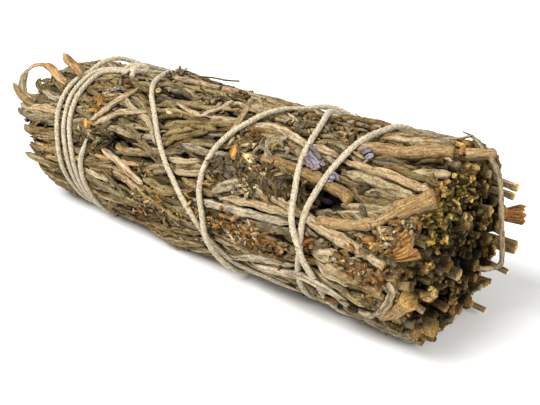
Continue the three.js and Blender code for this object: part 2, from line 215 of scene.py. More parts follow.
def daylight(rings):
    """How lit each point is: strips hide light from what lies under and between them."""
    middle = rings.mean(1, keepdims=True)
    outward = middle - (0, CENTRE[1], 0) - axis_height(middle[..., :1] - CENTRE[0]) * (0, 0, 1)
    outward = unit(outward * (0, 1, 1))
    reach = ((rings - middle) * outward).sum(-1)
    share = reach / np.maximum(np.abs(reach).max(1, keepdims=True), 1e-6)
    on_top = 0.24 + 0.76 * ease(share, -0.6, 0.6)
    x = rings[..., 0] - CENTRE[0]
    y, z = rings[..., 1] - CENTRE[1], rings[..., 2] - axis_height(x)
    depth = np.hypot(y, z) / bundle_radius(x) * CUT_RADIUS
    arc = np.arctan2(z, -y) % (2 * np.pi) * CUT_RADIUS
    sunk = nominal_limit[cells(x, arc)] - depth
    beneath = np.clip(1.1 - 0.5 * sunk, 0.03, 1)
    near_end = np.clip(np.exp((x - END_X) / 1.5), 0, 1) + np.clip(np.exp((-48.5 - x) / 2.6), 0, 1)
    return (np.maximum(beneath, np.minimum(near_end, 1)) * on_top).reshape(-1)


def link(name, data):
    made = bpy.data.objects.new(name, data)
    bpy.context.scene.collection.objects.link(made)
    return made


class Piece:
    """Gathers swept solids into one mesh, each with its own rectangle of the texture layout."""

    LOWEST = 0.02
    MARGIN = 0.25

    def __init__(self, name, shaded=True):
        self.name = name
        self.shaded = shaded
        self.parts = []

    def add(self, rings, slot, look, end_slot=None):
        """look is (tint, brightness, seed); end_slot is the material of the last face."""
        rings = rings.copy()
        rings[..., 2] = np.maximum(rings[..., 2], self.LOWEST)
        self.parts.append((rings, (slot, slot, slot if end_slot is None else end_slot), look))

    def layout(self):
        """Packs one rectangle a part onto shelves: their corners, their girths, the sheet's size."""
        sizes = []
        for rings, _, _ in self.parts:
            girth = np.linalg.norm(rings - np.roll(rings, 1, 1), axis=2).sum(1).mean()
            sizes.append((steps(rings.mean(1)).sum() + 2 * girth / math.pi, girth))
        area = sum((width + self.MARGIN) * (height + self.MARGIN) for width, height in sizes)
        sheet = max(max(width for width, _ in sizes) + 2 * self.MARGIN, math.sqrt(area) * 1.02)
        corners = [None] * len(sizes)
        x = y = self.MARGIN
        shelf = 0.0
        for part in sorted(range(len(sizes)), key=lambda part: -sizes[part][1]):
            width, height = sizes[part]
            if x + width + self.MARGIN > sheet:
                x, y, shelf = self.MARGIN, y + shelf + self.MARGIN, 0.0
            corners[part] = (x, y)
            x += width + self.MARGIN
            shelf = max(shelf, height)
        return corners, [girth for _, girth in sizes], (sheet, y + shelf + self.MARGIN)

    def arrays(self, part, first, corner, girth, sheet):
        """One part's points, face corners, face sizes, materials, flat faces, layouts and looks."""
        rings, (wall_slot, start_slot, end_slot), look = part
        count, sides = rings.shape[:2]
        ids = first + np.arange(count * sides).reshape(count, sides)
        following = np.roll(ids, -1, 1)
        quads = np.stack([ids[:-1], ids[1:], following[1:], following[:-1]], -1).reshape(-1, 4)
        walls = len(quads)
        grain = tube_texture(rings, girth)
        looks = np.broadcast_to(look, (count * sides, 3)).copy()
        # Painted light and shade: daylight scales each point's brightness, and so its colour.
        if self.shaded:
            looks[:, 1] *= daylight(rings)
        return (rings.reshape(-1, 3), np.r_[quads.reshape(-1), ids[0], ids[-1][::-1]],
                np.r_[np.full(walls, 4), sides, sides],
                np.r_[np.full(walls, wall_slot), start_slot, end_slot],
                np.r_[np.zeros(walls, bool), True, True],
                (grain + (girth / math.pi, 0) + corner) / sheet, grain, looks)

    def build(self, materials):
        corners, girths, sheet = self.layout()
        firsts = np.cumsum([0] + [rings.shape[0] * rings.shape[1] for rings, _, _ in self.parts])
        rows = [self.arrays(part, first, corner, girth, sheet)
                for part, first, corner, girth in zip(self.parts, firsts, corners, girths)]
        points, loops, totals, slots, flat, bake, grain, looks = map(np.concatenate, zip(*rows))
        mesh = bpy.data.meshes.new(self.name)
        mesh.vertices.add(len(points))
        mesh.vertices.foreach_set("co", (points * MM).astype(np.float32).ravel())
        mesh.loops.add(len(loops))
        mesh.loops.foreach_set("vertex_index", loops.astype(np.int32))
        mesh.polygons.add(len(totals))
        mesh.polygons.foreach_set("loop_start", np.r_[0, np.cumsum(totals)[:-1]].astype(np.int32))
        mesh.polygons.foreach_set("material_index", slots.astype(np.int32))
        mesh.polygons.foreach_set("use_smooth", ~flat)
        for name, values in (("OFBake", bake), ("Grain", grain)):
            layer = mesh.uv_layers.new(name=name)
            layer.data.foreach_set("uv", values.astype(np.float32).ravel())
        attribute = mesh.attributes.new("look", "FLOAT_VECTOR", "POINT")
        attribute.data.foreach_set("vector", looks.astype(np.float32).ravel())
        for material in materials:
            mesh.materials.append(material)
        mesh.update(calc_edges=True)
        mesh.validate()
        return link(self.name, mesh)


# ---------------------------------------------------------------- the unrolled bundle

# The size of a cell, and how far the cells reach along the bundle.
GRID = 0.4
X_LOW, X_HIGH = -54.0, 57.0
ROWS = int((X_HIGH - X_LOW) / GRID)
COLUMNS = int(round(2 * math.pi * CUT_RADIUS / GRID))
ARC_GRID = 2 * math.pi * CUT_RADIUS / COLUMNS
GRID_X = X_LOW + np.arange(ROWS)[:, None] * GRID
GRID_ARC = np.arange(COLUMNS)[None, :] * ARC_GRID
# The depth that the core fills, and how far out the leaves reach over it.
CORE_DEPTH, LEAF_REACH = 13.0, 17.35
# How deep and how wide a dent the twine presses into the leaves, and its room above the floor.
DENT, DENT_WIDTH, UNDER_TWINE, UNDER_WIDTH = 0.95, 1.7, 1.25, 1.6


def cells(x, arc):
    """The row and column of the cell that holds a place."""
    rows = np.clip(np.rint((x - X_LOW) / GRID).astype(int), 0, ROWS - 1)
    return rows, np.rint(arc / ARC_GRID).astype(int) % COLUMNS


def arc_gap(a, b):
    """The distance round the bundle from b to a, the short way."""
    whole = 2 * math.pi * CUT_RADIUS
    return (a - b + whole / 2) % whole - whole / 2


# The middle of the twine, on the unrolled bundle.
route = curve([(x, arc_of(angle)) for x, angle in TWINE_ROUTE], 0.8)


def mound(x, arc, size, long, wide):
    return size * np.exp(-((GRID_X - x) / long) ** 2 - (arc_gap(GRID_ARC, arc) / wide) ** 2)


def twine_distance():
    """How far each place is from the twine, up to nine millimetres."""
    distance = np.full((ROWS, COLUMNS), 9.0)
    for x, arc in route[::2]:
        row, column = cells(x, arc)
        near = slice(max(0, row - 10), row + 11)
        columns = np.arange(column - 10, column + 11) % COLUMNS
        block = np.hypot(GRID_X[near] - x, arc_gap(GRID_ARC[:, columns], arc))
        distance[near, columns] = np.minimum(distance[near, columns], block)
    return distance


def envelope():
    """How far out the leaves may reach: an uneven round, dented by the twine and flat below."""
    reach = np.full((ROWS, COLUMNS), LEAF_REACH)
    for _ in range(26):
        x, arc = rng.uniform(X_LOW, X_HIGH), rng.uniform(0, AROUND)
        size, long = rng.uniform(-0.45, 0.5), rng.uniform(5, 11)
        reach += mound(x, arc, size, long, 0.5 * long)
    for x, angle, size, long, wide in BULGES:
        reach += mound(x, arc_of(angle), size, long, wide)
    # The reach before the gaps and the twine's dent is the depth from which painted shade is measured, so
    # what lies in the gaps and under the twine is painted darker.
    nominal = reach.copy()
    for x, angle, size, long, wide in GAPS:
        reach += mound(x, arc_of(angle), size, long, wide)
    distance = twine_distance()
    below = np.clip(-np.sin(GRID_ARC / CUT_RADIUS), 0.05, 1)
    ground = axis_height(GRID_X) / below / bundle_radius(GRID_X) * CUT_RADIUS
    under_twine = ground - UNDER_TWINE
    reach -= DENT * np.exp(-(distance / DENT_WIDTH) ** 2)
    closeness = np.exp(-(distance / UNDER_WIDTH) ** 2)
    reach = np.minimum(reach, ground * (1 - closeness) + under_twine * closeness)
    rounding = 2.7 * ease(-GRID_X, 44, 53) ** 1.5
    return reach - rounding, np.minimum(nominal, ground) - rounding


# Bulges and hollows of the bundle: X, angle, height, and reach along and round.
BULGES = [
    (-17.2, 100, 1.7, 5.0, 4.6), (-47.0, -7, -1.2, 2.5, 2.4), (-2.0, 70, -0.7, 5.0, 3.0),
    (43.0, 68, -0.5, 3.0, 2.0), (-51.5, 34, 1.9, 5.0, 5.5), (13.5, 103, -0.8, 4.0, 4.0),
    (-50.0, 92, -0.8, 3.5, 8.0), (-7.0, -53, 1.5, 8.0, 5.0), (-28.0, -53, 1.0, 5.0, 4.5),
]
# Dark gaps between the sprigs, in the same terms: real hollows, which painted shade also darkens.
GAPS = [
    (-20.5, 26, -2.8, 2.4, 1.5), (-10.5, 77, -2.6, 3.2, 1.3), (34.5, 33, -2.8, 1.6, 1.7),
    (22.0, 13, -2.2, 4.5, 0.8), (47.0, 71, -3.0, 4.0, 1.3), (-8.5, 20, -1.8, 2.4, 1.2),
    (0.5, 46, -1.8, 3.0, 0.9), (39.0, 60, -1.8, 2.5, 1.1), (-16.0, -6, -1.6, 2.5, 1.2),
    (30.0, 34, -2.0, 3.0, 1.0), (40.0, -16, -1.6, 2.6, 1.2), (30.0, 84, -1.4, 3.0, 1.0),
    (-6.0, -18, -1.5, 2.5, 1.2), (6.0, 33, -1.5, 2.2, 1.1), (18.0, 84, -1.5, 3.5, 0.9),
]


class Surface:
    """The sprigs laid so far, as a height over the unrolled bundle."""

    def __init__(self, base):
        self.height = np.full((ROWS, COLUMNS), base)

    def footprint(self, line, half_width):
        heading = unit(np.gradient(line, axis=0))
        across = np.linspace(-1, 1, max(3, int(2 * half_width / GRID) + 1))
        x = line[:, :1] - heading[:, 1:] * across * half_width
        arc = line[:, 1:] + heading[:, :1] * across * half_width
        return cells(x, arc), across

    def rest(self, line, half_width, nestle=0.35, stiffness=3):
        below = self.height[self.footprint(line, half_width)[0]]
        return smooth((1 - nestle) * below.max(1) + nestle * below.mean(1), stiffness)

    def rest_at(self, at, half_width, nestle):
        return self.rest(np.array([at, at + GRID]), half_width, nestle).mean()

    def lay(self, line, depth, half_width, half_height):
        (rows, columns), across = self.footprint(line, half_width)
        top = depth[:, None] + half_height * np.sqrt(1 - 0.8 * across ** 2)
        np.maximum.at(self.height, (rows, columns), top)


# Millimetres between the points of a strip's line, and between the rings of each kind of strip.
STEP = 0.5
STEM_RINGS, LEAF_RINGS, PLAIN_LEAF_RINGS = 1.4, 1.1, 2.2


def run_line(x, arc, heading, bend, length, backwards, sway=0.0):
    """A strip's line on the unrolled bundle: straight, bent or gently swaying."""
    count = max(6, int(length / STEP))
    share = np.linspace(-0.5, 0.5, count)
    turn = heading + bend * share + sway * np.sin(share * rng.uniform(5, 11) + rng.uniform(0, 6))
    step = length / count * (-1 if backwards else 1)
    line = np.cumsum(np.stack([np.cos(turn), np.sin(turn)], -1) * step, 0)
    return line - line[count // 2] + (x, arc)


def thin(line, spacing):
    """Which points of a strip's line to keep, always with its last."""
    return np.unique(np.r_[np.arange(0, len(line), max(1, int(spacing / STEP))), len(line) - 1])


def any_look(tints, brights, seeds=(0, 1), bright=1.0):
    """A random tint, brightness and seed."""
    return (rng.uniform(*tints), bright * rng.uniform(*brights), rng.uniform(*seeds))


def look(low, high, bright=1.0):
    """A look with a tint from low to high and the usual spread of brightness."""
    return any_look((low, high), (0.78, 1.2), bright=bright)


def any_way(lean=(0, 0, 0)):
    """A random direction, leaning one way."""
    return unit(rng.normal(size=3) + lean)


# ---------------------------------------------------------------- pieces of the sprigs

# The outer sprigs of the solid model, by angle.
NODES = {
    -80: "underside_sprig_01", -60: "underside_sprig_02", -40: "leafy_sprig_03",
    -20: "flowering_sprig_04", 0: "flowering_sprig_05", 20: "woody_sprig_06",
    40: "flowering_sprig_07", 60: "leafy_sprig_08", 80: "woody_sprig_09", 100: "woody_sprig_10",
    120: "leafy_sprig_11", 140: "flowering_sprig_12", 160: "leafy_sprig_13", 180: "leafy_sprig_14",
    200: "flowering_sprig_15", 220: "leafy_sprig_16", 240: "underside_sprig_17",
    260: "underside_sprig_18",
}
sprigs = {angle: Piece(node + "_detail") for angle, node in NODES.items()}
FIRST_SPRIG, BETWEEN_SPRIGS = -80, 20


def sprig_at(arc):
    """The outer sprig that holds what lies at a distance round the bundle."""
    number = round((math.degrees(arc / CUT_RADIUS) - FIRST_SPRIG) / BETWEEN_SPRIGS) % len(sprigs)
    return sprigs[number * BETWEEN_SPRIGS + FIRST_SPRIG]


def leaf_widths(share, half_width):
    """Narrow at the foot, even along the blade, closing to a blunt tip."""
    foot = 0.4 + 0.6 * ease(share, 0, 0.22)
    tip = np.sqrt(np.clip(1 - ease(share, 0.78, 1.0) ** 1.2, 0.01, 1))
    return half_width * foot * tip


def add_leaf(piece, line, depth, half_width, half_height, looks, fine=True, cut=False, roll=None):
    """A leaf along a line; a fine one is grooved and crinkled, a cut one keeps its width."""
    keep = thin(line, LEAF_RINGS if fine else PLAIN_LEAF_RINGS)
    line, depth = line[keep], depth[keep]
    share = np.linspace(0, 1, len(line))
    path = place(*line.T, depth)
    path += 0.07 * rng.normal(size=path.shape) * (1 if fine else 0)
    widths = leaf_widths(share * (0.8 if cut else 1), half_width)
    widths *= 1 + 0.1 * np.sin(share * rng.uniform(8, 20) + rng.uniform(0, 6))
    heights = half_height * (0.35 + 0.65 * widths / half_width)
    if roll is None:
        roll = rng.normal(0, 0.28) + rng.normal(0, 0.5) * (share - 0.5)
    profile = LEAF_PROFILE if fine else PLAIN_LEAF_PROFILE
    rings = sweep(path, radial(line[:, 1]), profile, widths, heights, roll)
    piece.add(rings, LEAF, looks, PITH if cut else LEAF)


def add_stem(piece, line, depth, radius, looks, joints=9.0, lumpy=0.05):
    """A ribbed stem along a line, thicker at its joints, with a pale cut end."""
    keep = thin(line, STEM_RINGS)
    line, depth = line[keep], depth[keep]
    path = place(*line.T, depth)
    along = distances(path)
    joint = np.exp(-(((along + rng.uniform(0, joints)) % joints - joints / 2) / 0.8) ** 2)
    radii = radius * (1 + 0.22 * joint + lumpy * rng.normal(size=len(along)))
    roll = rng.uniform(0, 1.5) + 0.02 * along
    piece.add(sweep(path, radial(line[:, 1]), STEM_PROFILE, radii, radii, roll), STEM, looks, PITH)


# The teeth round a calyx's mouth.
TEETH = 5


def add_calyx(piece, start, end, outward, radius, looks):
    """A ribbed calyx from its foot to its open, toothed mouth."""
    share = np.array([0, 0.12, 0.35, 0.6, 0.8, 0.93, 1.0, 0.94, 0.7])
    widths = radius * np.array([0.3, 0.7, 1.0, 1.02, 0.92, 0.95, 1.0, 0.72, 0.5])
    line = start + (end - start) * share[:, None]
    direction = unit(end - start)
    out = outward - (outward * direction).sum() * direction
    out = out / max(np.linalg.norm(out), 1e-6)
    side = np.cross(direction, out)
    ring = CALYX_PROFILE[:, :1] * side + CALYX_PROFILE[:, 1:] * out
    rings = line[:, None] + ring[None] * widths[:, None, None]
    teeth = 0.35 * radius * np.cos(np.arange(len(ring)) / len(ring) * 2 * np.pi * TEETH)
    rings[5:8] += (teeth[:, None] * direction)[None]
    piece.add(rings, FLOWER, looks)


def add_flake(x, arc, depth, length, width, slot, looks, heading=None):
    """A crumpled papery flake: a torn petal or a scrap of leaf."""
    calm = heading is not None
    if not calm:
        heading = rng.uniform(0, 2 * np.pi)
    line = run_line(x, arc, heading, rng.normal(0, 0.3 if calm else 0.8), length, False)[::2]
    share = np.linspace(0, 1, len(line))
    lift = 0.25 * np.sin(share * rng.uniform(3, 7)) + rng.uniform(-0.1, 0.5) * share
    path = place(*line.T, depth + lift * (0.4 if calm else 1))
    widths = 0.5 * width * np.sqrt(np.clip(np.sin(np.pi * (0.08 + 0.84 * share)), 0.05, 1))
    widths *= 1 + 0.12 * rng.normal(size=len(widths))
    roll = 0.15 * rng.normal() if calm else rng.normal(0, 0.6) + rng.normal(0, 1.0) * share
    rings = sweep(path, radial(line[:, 1]), FLAKE_PROFILE, widths, 0.12 + 0.1 * widths, roll)
    sprig_at(arc).add(rings, slot, looks)


def add_crumb(piece, at, heading, outward, size, slot, looks):
    """A knobbly crumb round a point; size is its half length, width and height."""
    share = np.array([-1.0, -0.75, -0.1, 0.6, 0.95])
    girth = np.sqrt(np.clip(1 - share ** 2, 0.06, 1))
    path = at + share[:, None] * size[0] * heading
    rings = sweep(path, np.tile(outward, (5, 1)), round_profile(7), size[1] * girth, size[2] * girth)
    rings += 0.17 * min(size) * rng.normal(size=rings.shape)
    piece.add(rings, slot, looks)


def bundle_line(points, step):
    """A smooth line on the unrolled bundle through points of X and angle, and depth if given."""
    return curve([(x, arc_of(angle), *depth) for x, angle, *depth in points], step)


def add_fan(piece, points, depths, narrow, wide, looks):
    """A papery calyx torn open, ribbed from its foot to its ragged edge."""
    line = bundle_line(points, 0.4)
    share = np.linspace(0, 1, len(line))
    path = place(*line.T, np.interp(share, [0, 1], depths))
    across = np.linspace(-1, 1, 15)
    ribs = 0.16 * np.cos(across * 22)
    bow = 0.4 * (1 - across ** 2)
    top = np.stack([across, ribs + bow], -1)
    profile = np.vstack([top, np.stack([across[::-1], ribs[::-1] + bow[::-1] - 0.22], -1)])
    widths = narrow + (wide - narrow) * share ** 0.8
    rings = sweep(path, radial(line[:, 1]), profile, widths, 0.35 + 0.75 * widths / wide)
    heading = unit(path[-1] - path[-2])
    rings[-1] += 0.35 * rng.normal(size=len(profile))[:, None] * heading
    piece.add(rings, FLOWER, looks)


def add_bud(piece, points, depths, width, looks):
    """A downy bud lying flat, pointed at its far end and knobbly all over."""
    line = bundle_line(points, 0.4)
    share = np.linspace(0, 1, len(line))
    path = place(*line.T, np.interp(share, np.linspace(0, 1, len(depths)), depths))
    widths = width * np.sqrt(np.clip(np.sin(np.pi * (0.04 + 0.92 * share ** 0.75)), 0.01, 1))
    rings = sweep(path, radial(line[:, 1]), round_profile(20), widths, widths * 0.62)
    middle = rings.mean(1, keepdims=True)
    along, side = np.indices(rings.shape[:2])
    scales = np.maximum(np.sin(along * 1.3 + side * 1.57), np.sin(along * 1.3 - side * 1.57 + 1))
    swell = 1 + 0.12 * scales + 0.05 * rng.normal(size=scales.shape)
    piece.add(middle + (rings - middle) * swell[..., None], LEAF, looks)


# ---------------------------------------------------------------- laying the bundle

surface = Surface(CORE_DEPTH)
kept_clear = np.zeros((ROWS, COLUMNS), bool)
limit, nominal_limit = envelope()
# The fewest points that a strip may be left with where the bundle ends, and how far a strip sinks
# into those beneath it.
SHORTEST, SINK = 8, 0.1
# The depth and radius of the outer sprigs' own stems.
STEM_DEPTH, STEM_RADIUS = 13.9, 1.15


def limit_at(line):
    """How far out the leaves may reach at a place or along a line."""
    return limit[cells(*line.T)]


def best_line(make, half_width, tries):
    """Of several places for a strip, the one that lies lowest."""
    best = None
    for _ in range(tries):
        line = make()
        score = surface.rest(line, half_width).mean() - limit_at(line).mean()
        if best is None or score < best[0]:
            best = (score, line)
    return best


def lay_strip(line, half_width, half_height, below, stiffness=3):
    """Lays a strip on the others, at least so far below the limit, and tells its depth."""
    depth = surface.rest(line, half_width, 0.3, stiffness) + half_height - SINK
    depth = smooth(np.minimum(depth, limit_at(line) - below - half_height * 0.9), 2)
    surface.lay(line, depth, half_width, half_height)
    return depth


def shade(line, depth):
    """Strips deeper in the bundle are darker: painted shade, for the light that the strips above hide
    from them.
    """
    middle = slice(len(line) // 4, 3 * len(line) // 4 + 1)
    sunk = nominal_limit[cells(*line[middle].T)] - depth[middle]
    return 1.0 - 0.3 * float(np.clip(sunk.mean() - 0.7, 0, 2.4))


def lay_stems():
    """Each outer sprig's own stem."""
    for angle, piece in sprigs.items():
        xs = np.linspace(-46, 49.2 + rng.uniform(-1.5, 1.0), 200)
        line = np.stack([xs, arc_of(angle) + 0.9 * np.sin(xs * 0.07 + angle)], -1)
        depth = np.full(len(xs), STEM_DEPTH) - 0.5 * ease(xs, 46, 54)
        surface.lay(line, depth, 1.1, 1.1)
        radius = STEM_RADIUS * (0.55 + 0.45 * ease(xs, -46, 40))
        add_stem(piece, line, depth, radius[thin(line, STEM_RINGS)], look(0.2, 0.75))


def lay_side_shoots(count):
    """Thin stems that wander from sprig to sprig."""
    for _ in range(count):
        length, radius = rng.uniform(22, 55), rng.uniform(0.5, 0.85)

        def make():
            x = rng.uniform(-44, 50 - length / 2)
            return run_line(x, rng.uniform(0, AROUND), rng.normal(0, 0.1), rng.normal(0, 0.25),
                            length, False)
        _, line = best_line(make, radius, 5)
        line = line[(line[:, 0] < 50) & (line[:, 0] > -51)]
        if len(line) < SHORTEST:
            continue
        depth = lay_strip(line, radius, radius, below=0.6)
        add_stem(sprig_at(line[len(line) // 2, 1]), line, depth, radius,
                 look(0.1, 0.8, shade(line, depth)))


def leaf_tint(x, angle):
    """Olive towards the tips, greyer and browner at the low cut end, with a few odd ones."""
    chance = rng.random()
    brown = float(ease(np.array(x), -10, 25)) * (0.5 + 0.5 * math.cos(math.radians(angle + 20)))
    if chance < 0.56:
        return rng.uniform(0.28, 0.58) + 0.1 * brown
    if chance < 0.78:
        return rng.uniform(0.58, 0.84)
    if chance < 0.955:
        return rng.uniform(0.02, 0.25)
    return rng.uniform(0.88, 1.0)


def lay_leaves(count, fine, lengths, widths, spread, below, stiffness, tries):
    """A layer of leaves: each goes to the lowest of several places, and is left out if too high."""
    for _ in range(count):
        length = rng.uniform(*lengths)
        half_width = rng.uniform(*widths)
        half_height = half_width * rng.uniform(0.7, 1.0)
        backwards = rng.random() < 0.72

        def make():
            x = rng.uniform(-51 + length * 0.42, 51 - length * 0.2)
            heading = rng.normal(0, spread)
            return run_line(x, rng.uniform(0, AROUND), heading, rng.normal(0, 0.4), length,
                            backwards, rng.uniform(0, 0.22))
        score, line = best_line(make, half_width, tries)
        if score + half_height > 0.3 - below:
            continue
        ends = 49.6 + rng.normal(0, 0.9)
        cut = bool((line[:, 0] >= ends).any())
        line = line[(line[:, 0] < ends) & (line[:, 0] > -52.8)]
        if len(line) < SHORTEST:
            continue
        depth = lay_strip(line, half_width, half_height, below, stiffness)
        if cut and backwards:
            line, depth = line[::-1], depth[::-1]
        x, arc = line[len(line) // 2]
        tint = leaf_tint(x, math.degrees(arc / CUT_RADIUS))
        bright = rng.uniform(0.62, 1.16) * shade(line, depth)
        add_leaf(sprig_at(arc), line, depth, half_width, half_height,
                 (tint, bright, rng.random()), fine, cut)


# Things that stand out on the bundle: (kind, half width, half height, look, lift, line). The line
# is X and angle, and lift raises the strip above its neighbours.
STANDOUTS = [
    ("leaf", 0.85, 0.6, (0.45, 0.7, 0.9), -0.2, [(37.5, 64), (40.5, 65), (43, 68), (45.5, 65), (47, 63)]),
    ("leaf", 0.7, 0.5, (0.3, 0.8, 0.4), 0.0, [(43, 60), (47.5, 60), (50, 58.5), (51.5, 58)]),
    ("leaf", 0.9, 0.6, (0.75, 0.95, 0.2), 0.1, [(46, 61), (48, 63), (49.8, 68), (51, 72)]),
    ("leaf", 0.8, 0.6, (0.3, 0.8, 0.6), -0.1,
     [(36.5, 44), (38, 42), (40, 38.5), (43, 39), (45.5, 41), (47, 45)]),
    ("leaf", 0.8, 0.6, (0.62, 0.9, 0.6), 0.0, [(37, 32), (39.5, 33), (42.5, 35), (45.7, 38), (48, 41)]),
    ("leaf", 1.0, 0.8, (0.7, 0.9, 0.5), 0.3,
     [(34.5, 50), (36, 50), (40.3, 50), (44.3, 48.5), (47, 48), (49, 47)]),
    ("leaf", 0.8, 0.75, (0.8, 0.94, 0.1), 0.5,
     [(33, 58), (35, 57), (39, 57), (42.3, 56), (46.3, 54.3), (49.6, 53), (51.8, 51.5)]),
    ("stem", 1.2, 1.2, (0.62, 0.88, 0.3), 0.7,
     [(34.5, 69), (37.2, 71), (42, 75), (45.6, 80), (49.3, 84.5)]),
    ("stem", 0.9, 0.8, (0.62, 1.05, 0.4), -0.3, [(48.8, 88), (50.4, 92), (52, 99), (53, 106)]),
    ("leaf", 0.8, 0.6, (0.94, 1.0, 0.3), 0.2,
     [(34.5, 84), (36.4, 85), (40, 86), (43.3, 91), (47.8, 101)]),
    ("leaf", 0.85, 0.6, (0.6, 1.0, 0.8), 0.3, [(34.5, 99), (37, 103), (41, 106), (44, 108), (48, 110)]),
    ("stem", 0.85, 0.85, (0.35, 0.9, 0.7), 0.3,
     [(19, 90), (23, 93), (27, 100), (30.5, 106), (34.5, 108)]),
    ("stem", 1.0, 0.95, (0.9, 1.05, 0.5), 0.5,
     [(19.5, 28), (24.5, 24), (30.8, 19), (34.6, 16), (38.2, 14), (41.6, 12), (44.2, 11), (47.6, 8)]),
    ("stem", 0.95, 0.95, (0.62, 0.92, 0.4), 0.6,
     [(34, 20), (38.2, 22), (41.5, 25), (44.2, 29), (46.5, 36), (48.4, 41), (50.1, 46)]),
    ("stem", 1.5, 1.35, (0.5, 0.98, 0.2), 0.8, [(47.2, 38), (48.6, 42), (50.2, 46), (51.9, 50.5)]),
    ("stem", 0.85, 0.85, (0.72, 1.0, 0.6), 0.3,
     [(36.5, -5), (40.4, -7), (43, -6.5), (45.3, -7), (47.4, -7.5)]),
    ("leaf", 0.9, 0.5, (0.8, 1.0, 0.3), 0.2, [(33.5, -6), (35.2, -8), (37.3, -11), (42, -12)]),
    ("leaf", 0.8, 0.5, (0.7, 1.0, 0.7), 0.2,
     [(32, -13), (34.9, -17), (38.2, -19), (41.4, -23), (43.6, -25)]),
    ("leaf", 0.9, 0.55, (0.78, 1.0, 0.4), 0.2,
     [(31, -20), (34.4, -24), (37.7, -28), (42, -34), (45.3, -29)]),
    ("leaf", 0.7, 0.5, (0.8, 0.95, 0.5), 0.4,
     [(44.5, -30), (46.5, -24), (48.4, -14), (49.5, -4), (48.4, 1)]),
    ("stem", 1.3, 1.2, (0.5, 1.1, 0.4), 0.2, [(46.6, -28), (48.6, -22), (50.6, -14), (52, -8)]),
    ("leaf", 1.3, 0.5, (0.8, 1.0, 0.2), 0.1, [(32.5, -2), (35.3, 0), (37.3, 3), (39.4, 3)]),
    ("stem", 1.05, 1.0, (0.46, 0.92, 0.5), 0.5,
     [(18.2, 44), (22.5, 44), (25.8, 44), (29.1, 43), (32.7, 41), (36.1, 39), (38.5, 36)]),
    ("leaf", 0.8, 0.7, (0.87, 0.98, 0.4), 0.5,
     [(10, 58), (12.8, 64), (16.2, 67), (20.1, 65), (25, 61), (28.5, 60), (34, 58)]),
    ("leaf", 0.8, 0.65, (0.75, 0.98, 0.2), 0.4, [(12, 12), (14, 14), (19.1, 16), (22.9, 17), (28.4, 18)]),
    ("leaf", 0.8, 0.65, (0.8, 1.0, 0.9), 0.4,
     [(5, 4), (7.1, 5), (11.3, 7), (17.9, 9), (23.3, 10), (29, 12)]),
    ("leaf", 0.95, 0.6, (0.84, 1.12, 0.95), 0.3,
     [(9, -40), (11, -37), (18.3, -24), (23.6, -18), (29.5, -15)]),
    ("leaf", 0.35, 0.3, (0.9, 1.35, 0.5), 0.3, [(13.8, -5), (14.2, -7), (15.2, -12), (15.7, -19)]),
    ("leaf", 0.35, 0.3, (0.9, 1.3, 0.7), 0.4, [(12.6, -13), (14.2, -14), (16.2, -12.5), (18, -13)]),
    ("leaf", 0.55, 0.4, (0.89, 1.02, 0.6), 0.4, [(-8.5, 66.5), (-6.9, 65), (-3.8, 63), (-0.5, 60)]),
    ("leaf", 0.6, 0.45, (0.89, 1.06, 0.8), 0.45, [(-0.8, 60), (0.5, 67), (1.9, 73), (3.4, 81)]),
    ("stem", 0.6, 0.6, (0.8, 1.0, 0.6), 0.4, [(5.4, 89), (7, 80), (8.0, 70), (8.4, 62), (8.6, 52)]),
    ("stem", 0.75, 0.75, (0.9, 1.0, 0.3), 0.5,
     [(-15.5, 90), (-9.3, 98), (-3.3, 101), (2.7, 102), (9.6, 98), (15.5, 97), (21.2, 98), (24, 100)]),
    ("leaf", 0.75, 0.5, (0.5, 0.9, 0.3), 0.2, [(-14, 86), (-8, 89), (-2, 92), (4, 92)]),
    ("leaf", 0.8, 0.6, (0.42, 0.95, 0.5), 0.3, [(-8.5, 45), (-6.7, 47), (-3.1, 52), (1, 54), (5.4, 54)]),
    ("leaf", 0.75, 0.6, (0.3, 0.95, 0.2), 0.3, [(-7.5, 32), (-5.5, 35), (-3.2, 41), (0, 48), (3.5, 51)]),
    ("leaf", 0.65, 0.5, (0.78, 0.95, 0.2), 0.2, [(-4, 25), (-2.3, 26), (1.2, 27), (4.7, 31)]),
    ("leaf", 0.65, 0.5, (0.7, 0.95, 0.2), 0.2, [(-3, 20), (1, 20), (4.4, 22), (8, 27)]),
    ("leaf", 0.75, 0.5, (0.91, 1.0, 0.4), 0.5,
     [(-27.5, 34), (-26.3, 39), (-23.4, 52), (-21.7, 63), (-21, 71)]),
    ("leaf", 0.7, 0.5, (0.75, 1.0, 0.4), 0.3,
     [(-26.5, 31), (-25, 36), (-22, 43), (-18.5, 49), (-13.8, 52)]),
    ("leaf", 0.8, 0.55, (0.89, 1.04, 0.4), 0.4,
     [(-22.6, 18), (-21.5, 16), (-16.3, 11), (-12.2, 6), (-8.8, 2)]),
    ("leaf", 0.8, 0.55, (0.8, 1.0, 0.1), 0.3, [(-50.8, 28), (-45.4, 31.5), (-40, 33), (-37, 34)]),
    ("leaf", 0.75, 0.5, (0.4, 1.0, 0.3), 0.2, [(-10, -33), (-4, -30), (2, -25), (6, -21)]),
    ("leaf", 0.85, 0.55, (0.6, 1.0, 0.3), 0.2, [(-15.5, -50), (-6.0, -45), (4.6, -36)]),
]
